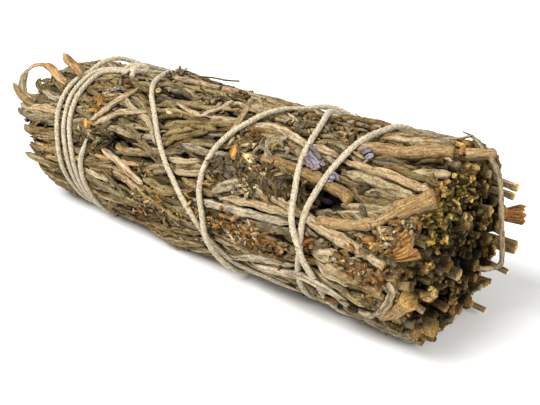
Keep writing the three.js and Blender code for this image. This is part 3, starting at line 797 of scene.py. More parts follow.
# Clusters of crumpled calyces: X, angle, spread, number, the range of the tint, and the size.
CLUSTERS = [
    (12.5, 36, 2.6, 8, (0.0, 0.1), 0.8), (19.0, 35, 2.8, 12, (0.0, 0.1), 0.8),
    (25.0, 32, 2.2, 8, (0.0, 0.08), 0.8),
    (14.0, -1, 2.2, 20, (0.5, 0.76), 0.65), (18.5, -4, 2.4, 30, (0.46, 0.72), 0.65),
    (22.5, -6, 2.4, 30, (0.44, 0.7), 0.65), (26.5, -8, 2.2, 20, (0.44, 0.66), 0.65),
    (-28.0, 52, 1.0, 4, (0.7, 0.8), 0.6), (-26.9, 39, 1.0, 5, (0.7, 0.86), 0.6),
    (-27.4, 31, 0.8, 4, (0.78, 0.9), 0.6), (-28.0, 25, 0.7, 3, (0.7, 0.8), 0.6),
    (-25.5, 76, 2.0, 9, (0.44, 0.56), 0.7), (13.5, 58, 1.4, 9, (0.45, 0.68), 0.75),
    (-11.0, -22, 1.8, 5, (0.5, 0.72), 0.7), (-4.0, -24, 1.6, 5, (0.5, 0.65), 0.6),
    (40.0, 6, 2.6, 28, (0.44, 0.66), 0.72), (44.0, 3, 2.6, 28, (0.44, 0.7), 0.72),
    (47.0, 0, 2.2, 20, (0.44, 0.66), 0.7), (45.5, 18, 1.8, 16, (0.46, 0.72), 0.7),
    (48.5, 30, 1.5, 10, (0.5, 0.76), 0.7),
    (32.0, 4, 2.2, 18, (0.46, 0.72), 0.65), (31.0, -9, 2.2, 12, (0.44, 0.66), 0.65),
    (46.5, -20, 2.0, 12, (0.42, 0.6), 0.9), (28.0, 78, 3.4, 9, (0.46, 0.6), 0.6),
    (21.0, 78, 3.2, 6, (0.46, 0.6), 0.6), (33.0, 88, 2.2, 5, (0.46, 0.6), 0.6),
    (-6.0, 88, 1.8, 8, (0.5, 0.7), 0.6), (8.0, -12, 1.8, 7, (0.42, 0.6), 0.7),
    (49.6, 92, 1.2, 16, (0.66, 0.86), 0.8),
    (42.0, 44, 1.6, 5, (0.0, 0.1), 0.7), (33.0, 34, 1.8, 7, (0.0, 0.1), 0.8),
    (39.0, -30, 2.0, 8, (0.42, 0.55), 0.8),
]
# Curled bracts: X, angle, spread, number, and the range of the tint.
CURLS = [
    (11.5, 33, 2.2, 12, (0.05, 0.4)), (15.5, 37, 2.4, 18, (0.05, 0.45)), (19.5, 34, 2.4, 20, (0.05, 0.4)),
    (23.5, 31, 2.4, 20, (0.05, 0.4)), (27.0, 30, 1.8, 12, (0.1, 0.4)), (14.0, 50, 2.0, 14, (0.1, 0.5)),
    (18.5, 52, 1.6, 10, (0.4, 0.7)), (-27.0, 20, 2.0, 10, (0.1, 0.45)), (-24.0, 24, 2.0, 10, (0.05, 0.4)),
    (0.0, 84, 4.0, 14, (0.1, 0.45)), (27.0, 84, 4.5, 26, (0.1, 0.5)), (20.0, 84, 4.0, 18, (0.1, 0.5)),
    (-34.0, 50, 2.0, 6, (0.4, 0.7)), (40.0, 34, 2.0, 8, (0.2, 0.5)), (46.0, 66, 2.0, 8, (0.2, 0.5)),
]
# Patches of crumbs: X, angle, spread, number, material, the range of the tint, and the size.
CRUMB_PATCHES = [
    (10.5, 33, 2.0, 14, FLOWER, (0.02, 0.12), 0.42), (15.1, 32, 2.2, 20, FLOWER, (0.02, 0.12), 0.42),
    (19.4, 32, 2.2, 20, FLOWER, (0.02, 0.12), 0.42), (23.6, 31, 2.2, 18, FLOWER, (0.02, 0.12), 0.42),
    (18.5, 40, 2.0, 22, LEAF, (0.3, 0.75), 0.4), (23.2, 40, 2.0, 20, LEAF, (0.3, 0.75), 0.4),
    (14.0, 47, 2.2, 22, LEAF, (0.3, 0.75), 0.38), (17.4, 23, 1.8, 22, LEAF, (0.4, 0.8), 0.4),
    (25.5, 27, 1.8, 12, FLOWER, (0.02, 0.12), 0.42), (10.0, 22, 2.4, 16, OLIVE, (0.4, 0.8), 0.34),
    (29.0, 74, 3.4, 34, LEAF, (0.3, 0.8), 0.38), (22.0, 77, 3.2, 24, LEAF, (0.3, 0.8), 0.38),
    (-10.5, -12, 2.2, 26, LEAF, (0.3, 0.8), 0.34), (-4.3, -9, 2.2, 22, PITH, (0.2, 0.7), 0.3),
    (-0.3, -13, 2.2, 16, OLIVE, (0.4, 0.9), 0.3), (8.2, -6, 2.2, 26, PITH, (0.2, 0.7), 0.32),
    (-6.7, 4, 2.2, 12, OLIVE, (0.4, 0.9), 0.32), (3.1, -1, 2.0, 20, PITH, (0.2, 0.7), 0.32),
    (-16.0, 100, 2.6, 40, LEAF, (0.6, 0.9), 0.34), (-18.0, 88, 2.4, 20, LEAF, (0.6, 0.9), 0.34),
    (42.0, 4, 2.6, 26, PITH, (0.0, 0.5), 0.34), (42.0, 4, 2.6, 34, LEAF, (0.5, 0.9), 0.34),
    (46.5, 18, 2.4, 22, PITH, (0.0, 0.6), 0.34), (46.5, 18, 2.4, 28, LEAF, (0.5, 0.9), 0.34),
    (46.0, -8, 2.4, 18, PITH, (0.0, 0.5), 0.34), (46.0, -8, 2.4, 26, LEAF, (0.5, 0.9), 0.34),
    (19.0, -5, 3.4, 30, PITH, (0.0, 0.55), 0.34), (19.0, -5, 3.4, 40, LEAF, (0.5, 0.9), 0.34),
    (-28.0, 26, 1.8, 26, LEAF, (0.4, 0.85), 0.4), (-26.5, 62, 2.2, 30, LEAF, (0.4, 0.85), 0.4),
    (-47.0, 30, 3.0, 22, LEAF, (0.3, 0.8), 0.36), (-46.0, 60, 3.0, 22, LEAF, (0.3, 0.8), 0.36),
    (1.0, 84, 3.4, 24, LEAF, (0.3, 0.8), 0.36), (36.0, 62, 2.0, 16, LEAF, (0.3, 0.8), 0.36),
]
# Single buds: X, angle, depth, heading, half length, width and height, material and tint.
BUDS = [
    (12.4, 42.3, 17.9, 1.35, (1.4, 0.8, 0.7), FLOWER, 0.76),
    (16.0, 41.0, 17.9, 0.5, (1.3, 0.95, 0.8), FLOWER, 0.93),
    (-27.2, 50, 17.6, 1.4, (1.3, 0.6, 0.5), FLOWER, 0.78),
    (-28.2, 31, 17.6, 1.0, (1.2, 0.75, 0.6), FLOWER, 0.85),
    (-15.6, 73, 17.5, 0.7, (0.9, 0.6, 0.45), FLOWER, 0.95),
    (-8.0, 57, 17.6, 0.2, (1.0, 0.6, 0.45), FLOWER, 0.95),
]
# Torn petals: X, angle, length, width, heading, tint.
PETALS = [
    (28.5, 55.5, 5.2, 1.0, -0.5, 0.2), (28.8, 53.6, 5.6, 1.1, -0.42, 0.25),
    (28.4, 51.6, 5.4, 1.0, -0.55, 0.17),
    (29.2, 49.9, 5.0, 1.1, -0.45, 0.23), (28.4, 48.0, 4.2, 1.0, -0.5, 0.19),
    (27.2, 54.0, 3.2, 1.3, 0.7, 0.27),
    (29.9, 52.4, 3.4, 1.2, 0.5, 0.14), (27.6, 50.0, 3.0, 1.2, 0.8, 0.24),
    (30.2, 47.8, 2.6, 1.2, 0.4, 0.2),
    (34.2, 46, 3.0, 1.3, 0.1, 0.2), (33.4, 44, 2.6, 1.2, 0.5, 0.24), (35.0, 44.5, 2.2, 1.0, -0.5, 0.16),
    (37.0, 66, 3.0, 1.6, 0.3, 0.28), (35.8, 68.5, 2.4, 1.3, -0.4, 0.26),
    (37.8, 64.5, 2.2, 1.2, 0.9, 0.24),
    (-25.6, 62, 2.8, 1.5, 0.3, 0.26), (-26.4, 59, 2.2, 1.4, 0.9, 0.22), (-24.8, 64, 2.0, 1.2, -0.3, 0.2),
    (44.0, -1, 2.6, 1.6, 0.6, 0.74), (24.0, -3, 2.0, 1.5, 0.2, 0.78), (16.5, -1, 2.2, 1.2, 0.1, 0.78),
    (27.5, -4, 2.0, 1.4, 0.1, 0.8),
]


def reserve(share):
    """Keeps room in the outer layer for the things that stand out."""
    for _, half_width, half_height, _, _, points in STANDOUTS:
        (rows, columns), _ = surface.footprint(bundle_line(points, STEP), half_width * 0.8)
        limit[rows, columns] -= share * half_height * 1.5


def lay_standouts():
    """The leaves and stems of the table, which nothing laid later may cover."""
    for kind, half_width, half_height, looks, lift, points in STANDOUTS:
        line = bundle_line(points, STEP)
        depth = smooth(limit_at(line), 3) - half_height + lift
        surface.lay(line, depth, half_width, half_height)
        kept_clear[surface.footprint(line, half_width + 0.3)[0]] = True
        piece = sprig_at(line[len(line) // 2, 1])
        if kind == "stem":
            add_stem(piece, line, depth, half_width, looks, joints=11.0, lumpy=0.06)
        else:
            add_leaf(piece, line, depth, half_width, half_height, looks, roll=0.0)


def places_near(x, angle, spread, number, stretch=1.3, last_x=X_HIGH):
    """Random places round a spot, except on the things that stand out."""
    for index in range(number):
        at = np.array([x, arc_of(angle)]) + rng.normal(0, spread * 0.55, 2) * (stretch, 1)
        if at[0] <= last_x and not kept_clear[cells(*at)]:
            yield index, at


def lay_calyx(at, radius, length, heading, tint):
    """A calyx lying on the leaves, its mouth raised a little."""
    line = run_line(*at, heading, 0, length, False)
    rest = surface.rest(line, radius * 0.7, 0.7).mean() + radius * 0.55
    depth = min(rest, limit_at(line).mean() + 0.25)
    foot, mouth = place(*line[[0, -1]].T, depth + np.array([-0.3, 0.3]))
    surface.lay(line, np.full(len(line), depth), radius * 0.8, radius * 0.8)
    add_calyx(sprig_at(at[1]), foot, mouth, radial(at[1]), radius,
              (tint, rng.uniform(0.65, 1.1), rng.random()))


def lay_clusters():
    """Whole calyces and torn ones by turns."""
    for x, angle, spread, number, tints, size in CLUSTERS:
        for index, at in places_near(x, angle, spread, number, 1.25, 51.5):
            tint = rng.uniform(*tints)
            if index % 2:
                depth = min(surface.rest_at(at, 0.5, 0.5) + 0.15, limit_at(at) + 0.4)
                add_flake(*at, depth, size * rng.uniform(1.4, 3.6), size * rng.uniform(0.9, 2.0),
                          FLOWER, (tint, rng.uniform(0.7, 1.15), rng.random()))
            else:
                heading = rng.normal(0, 0.9) + (np.pi if rng.random() < 0.7 else 0)
                length, radius = size * rng.uniform(2.2, 4.2), size * rng.uniform(0.45, 0.8)
                lay_calyx(at, radius, length, heading, tint)


def lay_curls():
    """Small dry leaves and bracts curled up on one another."""
    for x, angle, spread, number, tints in CURLS:
        for _, at in places_near(x, angle, spread, number):
            half_width = rng.uniform(0.3, 0.52)
            line = run_line(*at, rng.normal(0, 0.8), rng.normal(0, 2.4), rng.uniform(2.5, 6.0), True)
            depth = surface.rest(line, half_width, 0.5, 2) + half_width * 0.7
            depth = np.minimum(depth, limit_at(line) + 0.4)
            surface.lay(line, depth, half_width, half_width)
            add_leaf(sprig_at(at[1]), line, depth, half_width, half_width * 0.9,
                     any_look(tints, (0.45, 1.0)))


def lay_crumb_patches():
    """Patches of fine broken calyces and bracts."""
    for x, angle, spread, number, slot, tints, size in CRUMB_PATCHES:
        for _, at in places_near(x, angle, spread, number):
            extent = size * rng.uniform(0.5, 1.3) * np.array([rng.uniform(1.3, 3.6), 0.85, 0.6])
            depth = min(surface.rest_at(at, 0.4, 0.6) + 0.5 * extent[2], limit_at(at) + 0.45)
            surface.lay(np.array([at - 0.2, at + 0.2]), np.full(2, depth), extent[1], extent[2])
            heading = unit(rng.normal(0, 0.7, 3) + (1, 0, 0))
            add_crumb(sprig_at(at[1]), place(*at, depth), heading, radial(at[1]), extent, slot,
                      any_look(tints, (0.6, 1.4), (0, 0.8)))


def lay_buds():
    """The single buds of the table; a heading of 0 points along the bundle."""
    for x, angle, depth, heading, size, slot, tint in BUDS:
        arc = arc_of(angle)
        outward = radial(arc)
        forwards = np.array([1.0, 0, 0])
        along = math.cos(heading) * forwards + math.sin(heading) * np.cross(forwards, outward)
        add_crumb(sprig_at(arc), place(x, arc, depth), along, outward, size, slot, (tint, 1.15, 0.5))


def lay_petals():
    """The torn petals of the table."""
    for x, angle, length, width, heading, tint in PETALS:
        at = np.array([x, arc_of(angle)])
        depth = min(surface.rest_at(at, 0.7, 0.2) + 0.25, limit_at(at) + 0.5)
        looks = (tint, rng.uniform(0.8, 1.1), rng.random())
        add_flake(*at, depth, length, width, FLOWER, looks, heading)


def scatter_crumbs(count):
    """Crumbs of leaf and calyx that fill the hollows between the leaves."""
    for _ in range(count):
        tries = np.stack([rng.uniform(-49, 50, 4), rng.uniform(0, AROUND, 4)], -1)
        heights = surface.height[cells(*tries.T)] - limit_at(tries)
        at = tries[heights.argmin()]
        if kept_clear[cells(*at)]:
            continue
        depth = surface.rest_at(at, 0.5, 0.6) + 0.1
        slot = FLOWER if rng.random() < 0.35 else LEAF
        tints = (0.35, 0.75) if slot == FLOWER else (0.05, 0.9)
        add_flake(*at, depth, rng.uniform(0.8, 2.4), rng.uniform(0.5, 1.2), slot, look(*tints))


lay_stems()
lay_side_shoots(34)
lay_leaves(480, fine=False, lengths=(16, 30), widths=(0.8, 1.2), spread=0.16, below=1.1,
           stiffness=3, tries=7)
reserve(1.0)
lay_leaves(620, fine=True, lengths=(12, 26), widths=(0.55, 0.95), spread=0.22, below=0.45,
           stiffness=5, tries=6)
lay_leaves(760, fine=True, lengths=(8, 23), widths=(0.42, 0.85), spread=0.27, below=-0.15,
           stiffness=7, tries=5)
reserve(-1.0)
lay_standouts()
lay_curls()
lay_clusters()
lay_crumb_patches()
lay_buds()
lay_petals()
add_bud(sprigs[20], [(16.8, 27), (14.2, 23), (12.1, 19), (10.0, 14.8)],
        depths=(17.2, 17.9, 17.8, 17.3), width=0.95, looks=(0.62, 1.0, 0.9))
add_fan(sprigs[20], [(47.8, 14), (49.7, 19), (51.5, 25)], depths=(16.8, 17.2), narrow=0.8, wide=2.7,
        looks=(0.6, 1.25, 0.5))
scatter_crumbs(900)

# ---------------------------------------------------------------- inside and the two ends

# The second ring's sprigs in each hidden piece.
HIDDEN = {
    "middle_sprigs_front_detail": [1, 2, 3, 12], "middle_sprigs_top_detail": [4, 5, 6, 7],
    "middle_sprigs_under_detail": [8, 9, 10, 11],
}
hidden = {name: Piece(name) for name in [*HIDDEN, "inner_sprigs_detail"]}
# Each ring of hidden sprigs: their number, the first one's angle, and their depth.
HIDDEN_RINGS = [(1, 0, 0.01), (6, 20, 4.7), (12, 5, 9.4)]
# The depths where the second ring and the outer sprigs begin.
SECOND_RING, OUTER_RING = 7.3, 12.5


def piece_at(angle, depth):
    """The piece that holds what lies at an angle and depth inside the bundle."""
    if depth >= OUTER_RING:
        return sprig_at(arc_of(angle))
    if depth < SECOND_RING:
        return hidden["inner_sprigs_detail"]
    count, first, _ = HIDDEN_RINGS[-1]
    number = int(round((angle - first) / (360 / count))) % count + 1
    return next(hidden[name] for name, numbers in HIDDEN.items() if number in numbers)


def free_strip(piece, start, end, half_width, half_height, kind, looks, bend=0.0, cut=True):
    """A stem or leaf inside the bundle, from its inner end to its free end, in millimetres."""
    share = np.linspace(0, 1, max(5, int(np.linalg.norm(end - start) / 2.1)))[:, None]
    sag = np.array([0, rng.normal(), rng.normal()]) * bend * np.sin(np.pi * share)
    path = start + (end - start) * share + sag
    outward = np.array([0.0, rng.normal(), rng.normal()]) + np.zeros_like(path)
    if kind == "stem":
        radii = half_width * (1 + 0.06 * rng.normal(size=len(path)))
        piece.add(sweep(path, outward, STEM_PROFILE, radii, radii), STEM, looks, PITH)
        return
    widths = half_width * (1 + 0.08 * rng.normal(size=len(path)))
    if not cut:
        widths = leaf_widths(share[:, 0], half_width)
    rings = sweep(path, outward, LEAF_PROFILE, widths, half_height * widths / half_width)
    piece.add(rings, LEAF, looks)


def inside(x, angle, depth):
    """The point at an X, an angle and a depth out."""
    return place(x, arc_of(angle), depth)


def fill_hidden_sprigs():
    """The stems of the hidden sprigs and the leaves that fill the bundle near its ends."""
    for count, first, depth in HIDDEN_RINGS:
        for index in range(count):
            angle = first + 360 / count * index
            piece = piece_at(angle, depth)
            end = inside(47.5 + rng.uniform(-2, 2), angle, depth)
            free_strip(piece, inside(-45, angle, depth), end, rng.uniform(1.0, 1.5), 1.2, "stem",
                       look(0.1, 0.6), bend=0.3)
            for side in (-1, 1) * 7:
                turn = angle + rng.uniform(-0.5, 0.5) * (360 / count)
                out = max(0.3, depth + rng.uniform(-2.3, 2.3))
                start = inside(side * rng.uniform(26, 40), turn, out)
                far = side * rng.uniform(46.5, 49.8)
                turn += rng.normal(0, 1 if depth < 1 else 3)
                free_strip(piece, start, inside(far, turn, out + rng.normal(0, 0.5)),
                           rng.uniform(0.7, 1.1), 0.6, "leaf", look(0.05, 0.5, 0.9), bend=0.4,
                           cut=side > 0)


def spaced_points(count, radius, spacing):
    """Places in the round end face, none closer together than the spacing."""
    points = []
    for _ in range(count * 40):
        reach, turn = radius * math.sqrt(rng.random()), rng.uniform(0, 2 * np.pi)
        point = reach * np.array([math.cos(turn), math.sin(turn)])
        if all(np.hypot(*(point - other)) > spacing for other in points):
            points.append(point)
        if len(points) >= count:
            break
    return points


def polar(y, z):
    """The angle and depth of a place in the end face."""
    return math.degrees(math.atan2(z, -y)), math.hypot(y, z)


# Hollows in the cut end: depth, angle and reach.
PITS = [
    (7.9, 29, 1.5), (3.2, -20, 2.0), (8.8, -130, 2.2), (8.6, -80, 2.2), (14.0, -108, 1.5),
    (14.7, 32, 1.2), (8.3, 135, 1.3), (13.2, 162, 1.2), (2.8, 87, 1.3), (10.6, -164, 1.6),
    (9.0, 174, 1.3), (8.8, 4, 1.5), (7.3, -152, 1.5), (10.3, -18, 1.5), (9.4, 47, 1.2), (12.0, -60, 1.4),
]
# Golden knobs of pith in the cut end: depth, angle, X, size and tint.
GOLD_KNOBS = [
    (13.6, 102, 50.4, 0.8, 0.85), (13.9, 67, 50.2, 0.8, 0.6), (8.9, 118, 50.4, 0.75, 0.9),
    (5.0, 126, 50.6, 0.85, 0.95), (10.8, 167, 50.6, 0.7, 0.7), (8.6, -46, 50.4, 0.85, 0.95),
    (10.2, -35, 50.4, 0.8, 0.95), (11.4, 108, 50.2, 0.6, 0.7), (11.0, -96, 50.2, 0.6, 0.6),
    (15.6, -170, 50.6, 0.7, 0.8), (3.6, 39, 50.0, 0.55, 0.7), (7.6, -7, 49.6, 0.5, 0.6),
]
# Clumps of small olive bracts in the cut end: depth, angle, X, spread and number.
OLIVE_LUMPS = [
    (7.4, 73, 49.4, 1.4, 40), (10.5, 60, 49.8, 1.1, 20), (11.4, 112, 49.8, 1.1, 20),
    (5.0, 110, 48.8, 1.3, 18), (9.1, 95, 49.8, 1.1, 18), (3.5, 20, 48.4, 1.3, 14),
    (7.0, 30, 49.2, 1.2, 16), (12.5, 85, 50.0, 0.8, 14), (12.5, 45, 50.0, 0.8, 12),
    (6.0, -30, 48.4, 1.4, 12), (9.0, 150, 49.2, 1.1, 14), (5.0, 200, 48.2, 1.3, 10),
    (10.0, 180, 49.4, 1.0, 10), (8.0, -80, 48.6, 1.2, 10), (11.0, -110, 49.2, 1.1, 10),
    (14.5, 5, 49.8, 0.9, 10), (14.0, -20, 49.8, 0.9, 10), (13.5, 135, 49.8, 0.9, 10),
]
# Cut stems that show in the end: depth, angle, X, radius, length, tint, and lean to +Y and up.
STUBS = [
    (13.6, 69, 51.0, 0.95, 6, 0.6, (0.0, 0.1)), (13.3, 105, 50.8, 1.0, 6, 0.5, (0.1, 0.2)),
    (12.8, 92, 50.4, 0.9, 5, 0.45, (0.3, 0.1)), (9.1, 117, 50.6, 0.9, 6, 0.5, (0.2, 0.0)),
    (10.7, 165, 51.0, 1.1, 6, 0.7, (0.1, 0.1)), (4.3, 137, 50.6, 0.9, 6, 0.5, (0.1, 0.5)),
    (6.3, -106, 50.8, 1.15, 6, 0.85, (0.0, 0.0)), (12.9, -131, 50.6, 0.9, 6, 0.3, (0.1, 0.1)),
    (10.1, -34, 50.6, 0.8, 6, 0.45, (0.0, 0.2)), (8.7, -49, 50.6, 0.8, 6, 0.5, (0.1, 0.2)),
    (12.2, -42, 50.8, 0.7, 7, 0.9, (0.3, -0.5)), (14.0, -63, 51.4, 1.6, 7, 0.55, (0.0, 0.1)),
    (15.2, -48, 50.6, 1.3, 7, 0.3, (-0.1, 0.1)), (15.6, 18, 50.4, 0.9, 6, 0.5, (-0.2, 0.0)),
    (15.0, 50, 50.4, 0.8, 6, 0.6, (-0.1, 0.1)), (15.2, 125, 50.8, 0.8, 6, 0.6, (0.2, 0.1)),
    (11.5, -85, 50.6, 0.9, 6, 0.5, (0.1, -0.1)), (14.5, -105, 50.8, 0.9, 6, 0.4, (0.1, -0.1)),
    (11.8, 140, 50.6, 0.8, 6, 0.4, (0.1, 0.0)), (7.5, -10, 49.8, 0.8, 6, 0.35, (0.0, 0.1)),
]


def pit(depth, angle):
    """How far a place in the cut end is hollowed out, from 0 to 1; it also sets how much painted shade is
    put there.
    """
    y, z = -depth * math.cos(math.radians(angle)), depth * math.sin(math.radians(angle))
    hollow = 0.0
    for pit_depth, pit_angle, reach in PITS:
        turn = math.radians(pit_angle)
        gap = math.hypot(y + pit_depth * math.cos(turn), z - pit_depth * math.sin(turn))
        hollow = max(hollow, math.exp(-(gap / reach) ** 4))
    return hollow


def fill_cut_end():
    """Cut stems, leaf ends and calyces of every length, with dark gaps between them: ends set further in
    and ends in the pits are painted darker, as painted shade.
    """
    for y, z in spaced_points(230, 16.0, 1.35):
        angle, depth = polar(y, z)
        piece = piece_at(angle, depth)
        hollow = pit(depth, angle)
        tip_x = END_X - min(abs(rng.normal(0, 2.4)), 6) - 5.0 * hollow
        length = rng.uniform(4, 8)
        end = CENTRE + (tip_x, y, z + axis_height(END_HEIGHT_X))
        start = end - (length, *(rng.normal(0, 0.16, 2) * length))
        # Painted shade: the further an end is set back from the cut, and the deeper its pit, the darker
        # it is painted.
        bright = max(0.06, 1.15 - 0.36 * (END_X - tip_x)) * (1 - 0.9 * hollow)
        chance = rng.random()
        if chance < 0.45:
            width = rng.uniform(0.3, 0.7)
            looks = any_look((0.1, 0.6), (0.6, 1.3), (0, 0.6), bright)
            free_strip(piece, start, end, width, 0.35, "leaf", looks, bend=0.5)
        elif chance < 0.7:
            width = rng.uniform(0.3, 0.7)
            looks = any_look((0.1, 0.7), (0.7, 1.2), (0, 0.6), bright)
            free_strip(piece, start, end, width, 1, "stem", looks, bend=0.2)
        else:
            outward = np.array([0, rng.normal(), rng.normal()])
            start = end - (end - start) * 0.35
            radius = rng.uniform(0.35, 0.65)
            looks = any_look((0.45, 0.7), (0.7, 1.2), (0, 0.6), bright)
            add_calyx(piece, start, end, outward, radius, looks)


def fill_olive_lumps():
    """Clumps of small bracts and pith between the cut stems."""
    for depth, angle, x, spread, number in OLIVE_LUMPS:
        piece = piece_at(angle, depth)
        for _ in range(int(2.5 * number)):
            at = inside(x - 0.2 + rng.normal(0, 0.8), angle, depth)
            at = at + (0, *rng.normal(0, 1.15 * spread, 2))
            turn, out = polar(at[1] - CENTRE[1], at[2] - axis_height(END_HEIGHT_X))
            if rng.random() < 0.9 * pit(out, turn):
                continue
            size = rng.uniform(0.22, 0.55) * np.array([rng.uniform(1, 2), 1, rng.uniform(0.6, 1)])
            heading = any_way((0.6, 0, 0))
            slot = OLIVE if rng.random() < 0.75 else PITH
            outward, looks = any_way(), any_look((0.1, 1.0), (0.3, 1.7), (0.1, 0.6))
            add_crumb(piece, at, heading, outward, size, slot, looks)


def fill_stubs():
    """The cut stems that show in the end."""
    for depth, angle, x, radius, length, tint, lean in STUBS:
        end = inside(x, angle, depth)
        start = end - length * unit(np.array([1.0, *lean]))
        free_strip(piece_at(angle, depth), start, end, radius, radius, "stem",
                   (tint, 1.05, rng.uniform(0, 0.6)), bend=0.1)


def fill_gold_knobs():
    """Each knob is a few crumbs of pith."""
    for depth, angle, x, size, tint in GOLD_KNOBS:
        for _ in range(4):
            at = inside(x, angle, depth) + 0.45 * size * rng.normal(size=3)
            add_crumb(piece_at(angle, depth), at, any_way(), any_way(), size * np.array([1.0, 0.75, 0.7]),
                      PITH, (tint, rng.uniform(1.1, 1.7), rng.uniform(0, 0.5)))


def fill_tip_end():
    """Pointed leaf tips of every length close the other end."""
    for y, z in spaced_points(170, 15.3, 1.75):
        angle, depth = polar(y, z)
        tip_x = TIP_X + min(abs(rng.normal(0, 1.9)), 5)
        length = rng.uniform(7, 12)
        inner_depth = max(0.2, depth + rng.normal(0, 0.8))
        start = inside(tip_x + length, angle + rng.normal(0, 5), inner_depth)
        # Painted shade: tips set further in are darker.
        bright = 1.15 - 0.14 * (tip_x - TIP_X)
        free_strip(piece_at(angle, depth), start, inside(tip_x, angle, depth), rng.uniform(0.6, 1.05),
                   0.45, "leaf", look(0.15, 0.8, bright), bend=0.5, cut=False)


fill_hidden_sprigs()
fill_cut_end()
fill_olive_lumps()
fill_stubs()
fill_gold_knobs()
fill_tip_end()

# Free ends that stick out: (piece angle, kind, half width, look, path of X, angle, depth).
FREE_ENDS = [
    (40, "leaf", 1.15, (0.78, 0.95, 0.5),
     [(-46, 33, 17.2), (-49.5, 35.5, 18.7), (-51, 40.7, 19.3), (-51.8, 46.5, 19.8), (-51.6, 51.8, 20.5),
      (-51, 56, 20.9)]),
    (60, "leaf", 0.55, (0.93, 1.05, 0.4),
     [(-51.4, 53, 20.7), (-50.6, 58, 20.9), (-49.6, 61, 20.6), (-48, 62.6, 20.1)]),
    (60, "leaf", 0.95, (1.0, 1.1, 0.3),
     [(-49.4, 62.2, 20.5), (-47.6, 63, 20.0), (-46, 62.4, 19.5), (-44, 60.2, 18.0), (-42.6, 59.4, 16.9),
      (-40.6, 58, 16.4)]),
    (80, "leaf", 1.0, (0.97, 1.0, 0.5),
     [(-38.2, 67.5, 17.4), (-39.2, 68.4, 19.2), (-40.5, 69.4, 20.1), (-41.7, 69.5, 21.1),
      (-42.4, 69.9, 22.0), (-43, 70.2, 22.8)]),
    (40, "leaf", 0.8, (0.45, 0.9, 0.2),
     [(-46, 33, 17.6), (-49.5, 34.5, 19.4), (-51.5, 38.4, 20.1), (-53, 41.9, 21.0)]),
    (60, "leaf", 0.8, (0.3, 0.8, 0.6),
     [(-45, 45, 16.8), (-49, 49, 17.0), (-50.8, 54, 16.7), (-51.2, 57.5, 16.5)]),
    (60, "leaf", 0.7, (0.55, 0.85, 0.1),
     [(-43, 62, 16.6), (-47, 60, 15.8), (-50, 58, 15.8), (-51.2, 56, 16.0)]),
    (40, "leaf", 0.8, (0.8, 0.95, 0.9),
     [(-43, 34, 16.8), (-47, 34.5, 17.4), (-50, 34, 17.6), (-51.4, 33, 17.4)]),
    (40, "leaf", 0.9, (0.5, 0.8, 0.6),
     [(-43, 40, 16.8), (-47, 38, 17.4), (-49.4, 36, 18.2), (-51.0, 34, 18.4)]),
    (20, "leaf", 0.8, (0.7, 0.9, 0.8),
     [(-43, 26, 16.8), (-47, 28, 17.4), (-50, 29, 17.6), (-51.8, 30, 17.6)]),
    (20, "leaf", 0.8, (0.4, 0.85, 0.9),
     [(-44, 20, 16.8), (-48, 22, 17.2), (-51, 24, 17.5), (-52.6, 24.5, 17.2)]),
    (20, "leaf", 0.9, (0.5, 0.8, 0.7),
     [(-43, 8, 16.4), (-47, 9, 16.4), (-50, 10, 16.0), (-51.6, 9, 15.2)]),
    (100, "stem", 0.16, (0.35, 0.8, 0.6),
     [(-18.5, 101, 16.8), (-15.4, 102, 17.8), (-13.3, 103, 18.5), (-10.3, 106, 18.9), (-8.2, 106, 19.0),
      (-6.1, 106, 19.0), (-2.5, 106, 19.4)]),
    (0, "leaf", 1.0, (0.6, 1.0, 0.6),
     [(-39, -16, 16.8), (-43, -14, 17.2), (-46.5, -12, 17.6), (-49.0, -10, 18.0)]),
    (20, "leaf", 0.8, (0.5, 1.0, 0.4), [(-43, 12, 16.0), (-47, 11, 16.6), (-49.5, 11, 16.8)]),
    # These cut stems beyond the cut end are painted about twice as light as their own colour: painted
    # light where the bundle shades them.
    (160, "stem", 0.72, (0.85, 2.3, 0.5), [(45, 152, 15.5), (50, 153, 15.6), (53.8, 154, 15.4)]),
    (160, "stem", 0.7, (0.8, 2.0, 0.5), [(45, 160, 14.6), (50, 159, 14.8), (53.4, 160, 14.6)]),
    (240, "stem", 0.5, (0.5, 2.0, 0.3), [(44, 226, 15.4), (49, 225, 16.0), (52.0, 224, 16.6)]),
    (240, "stem", 0.5, (0.7, 2.1, 0.3), [(44, 244, 15.4), (49, 243, 16.0), (53.6, 243, 16.6)]),
    (220, "stem", 0.55, (0.8, 2.1, 0.4), [(44, 212, 15.4), (49, 213, 15.8), (54.2, 215, 16.4)]),
    (200, "stem", 1.2, (0.6, 2.0, 0.25), [(45, 199, 15.6), (49, 199, 16.0), (54.2, 199, 16.6)]),
    (100, "leaf", 0.5, (0.6, 1.0, 0.9), [(44, 99, 17.2), (47.5, 101, 17.8), (49.6, 102, 18.8)]),
    (-20, "leaf", 0.9, (0.84, 1.15, 0.97),
     [(18, -31, 17.2), (21, -27, 17.7), (26, -22.5, 17.8), (31, -19, 17.5), (35, -19.5, 17.7),
      (40, -25, 17.3)]),
    (-40, "leaf", 0.8, (0.8, 1.1, 0.95),
     [(10, -43, 17.2), (14, -39.5, 17.7), (19, -37.5, 17.8), (24, -41, 17.5), (28, -47, 17.1)]),
]


def add_free_ends():
    """The leaves and stems of the table, which leave the bundle."""
    for angle, kind, half_width, looks, points in FREE_ENDS:
        line = bundle_line(points, 0.8)
        path, outward = place(*line.T), radial(line[:, 1])
        if kind == "stem":
            radii = half_width * (1 + 0.05 * rng.normal(size=len(line)))
            rings = sweep(path, outward, STEM_PROFILE, radii, radii)
            sprigs[angle].add(rings, STEM, looks, PITH)
        else:
            share = np.linspace(0, 1, len(line))
            widths = leaf_widths(share, half_width)
            rings = sweep(path, outward, LEAF_PROFILE, widths, 0.5 * widths, 0.15 * share)
            sprigs[angle].add(rings, LEAF, looks)


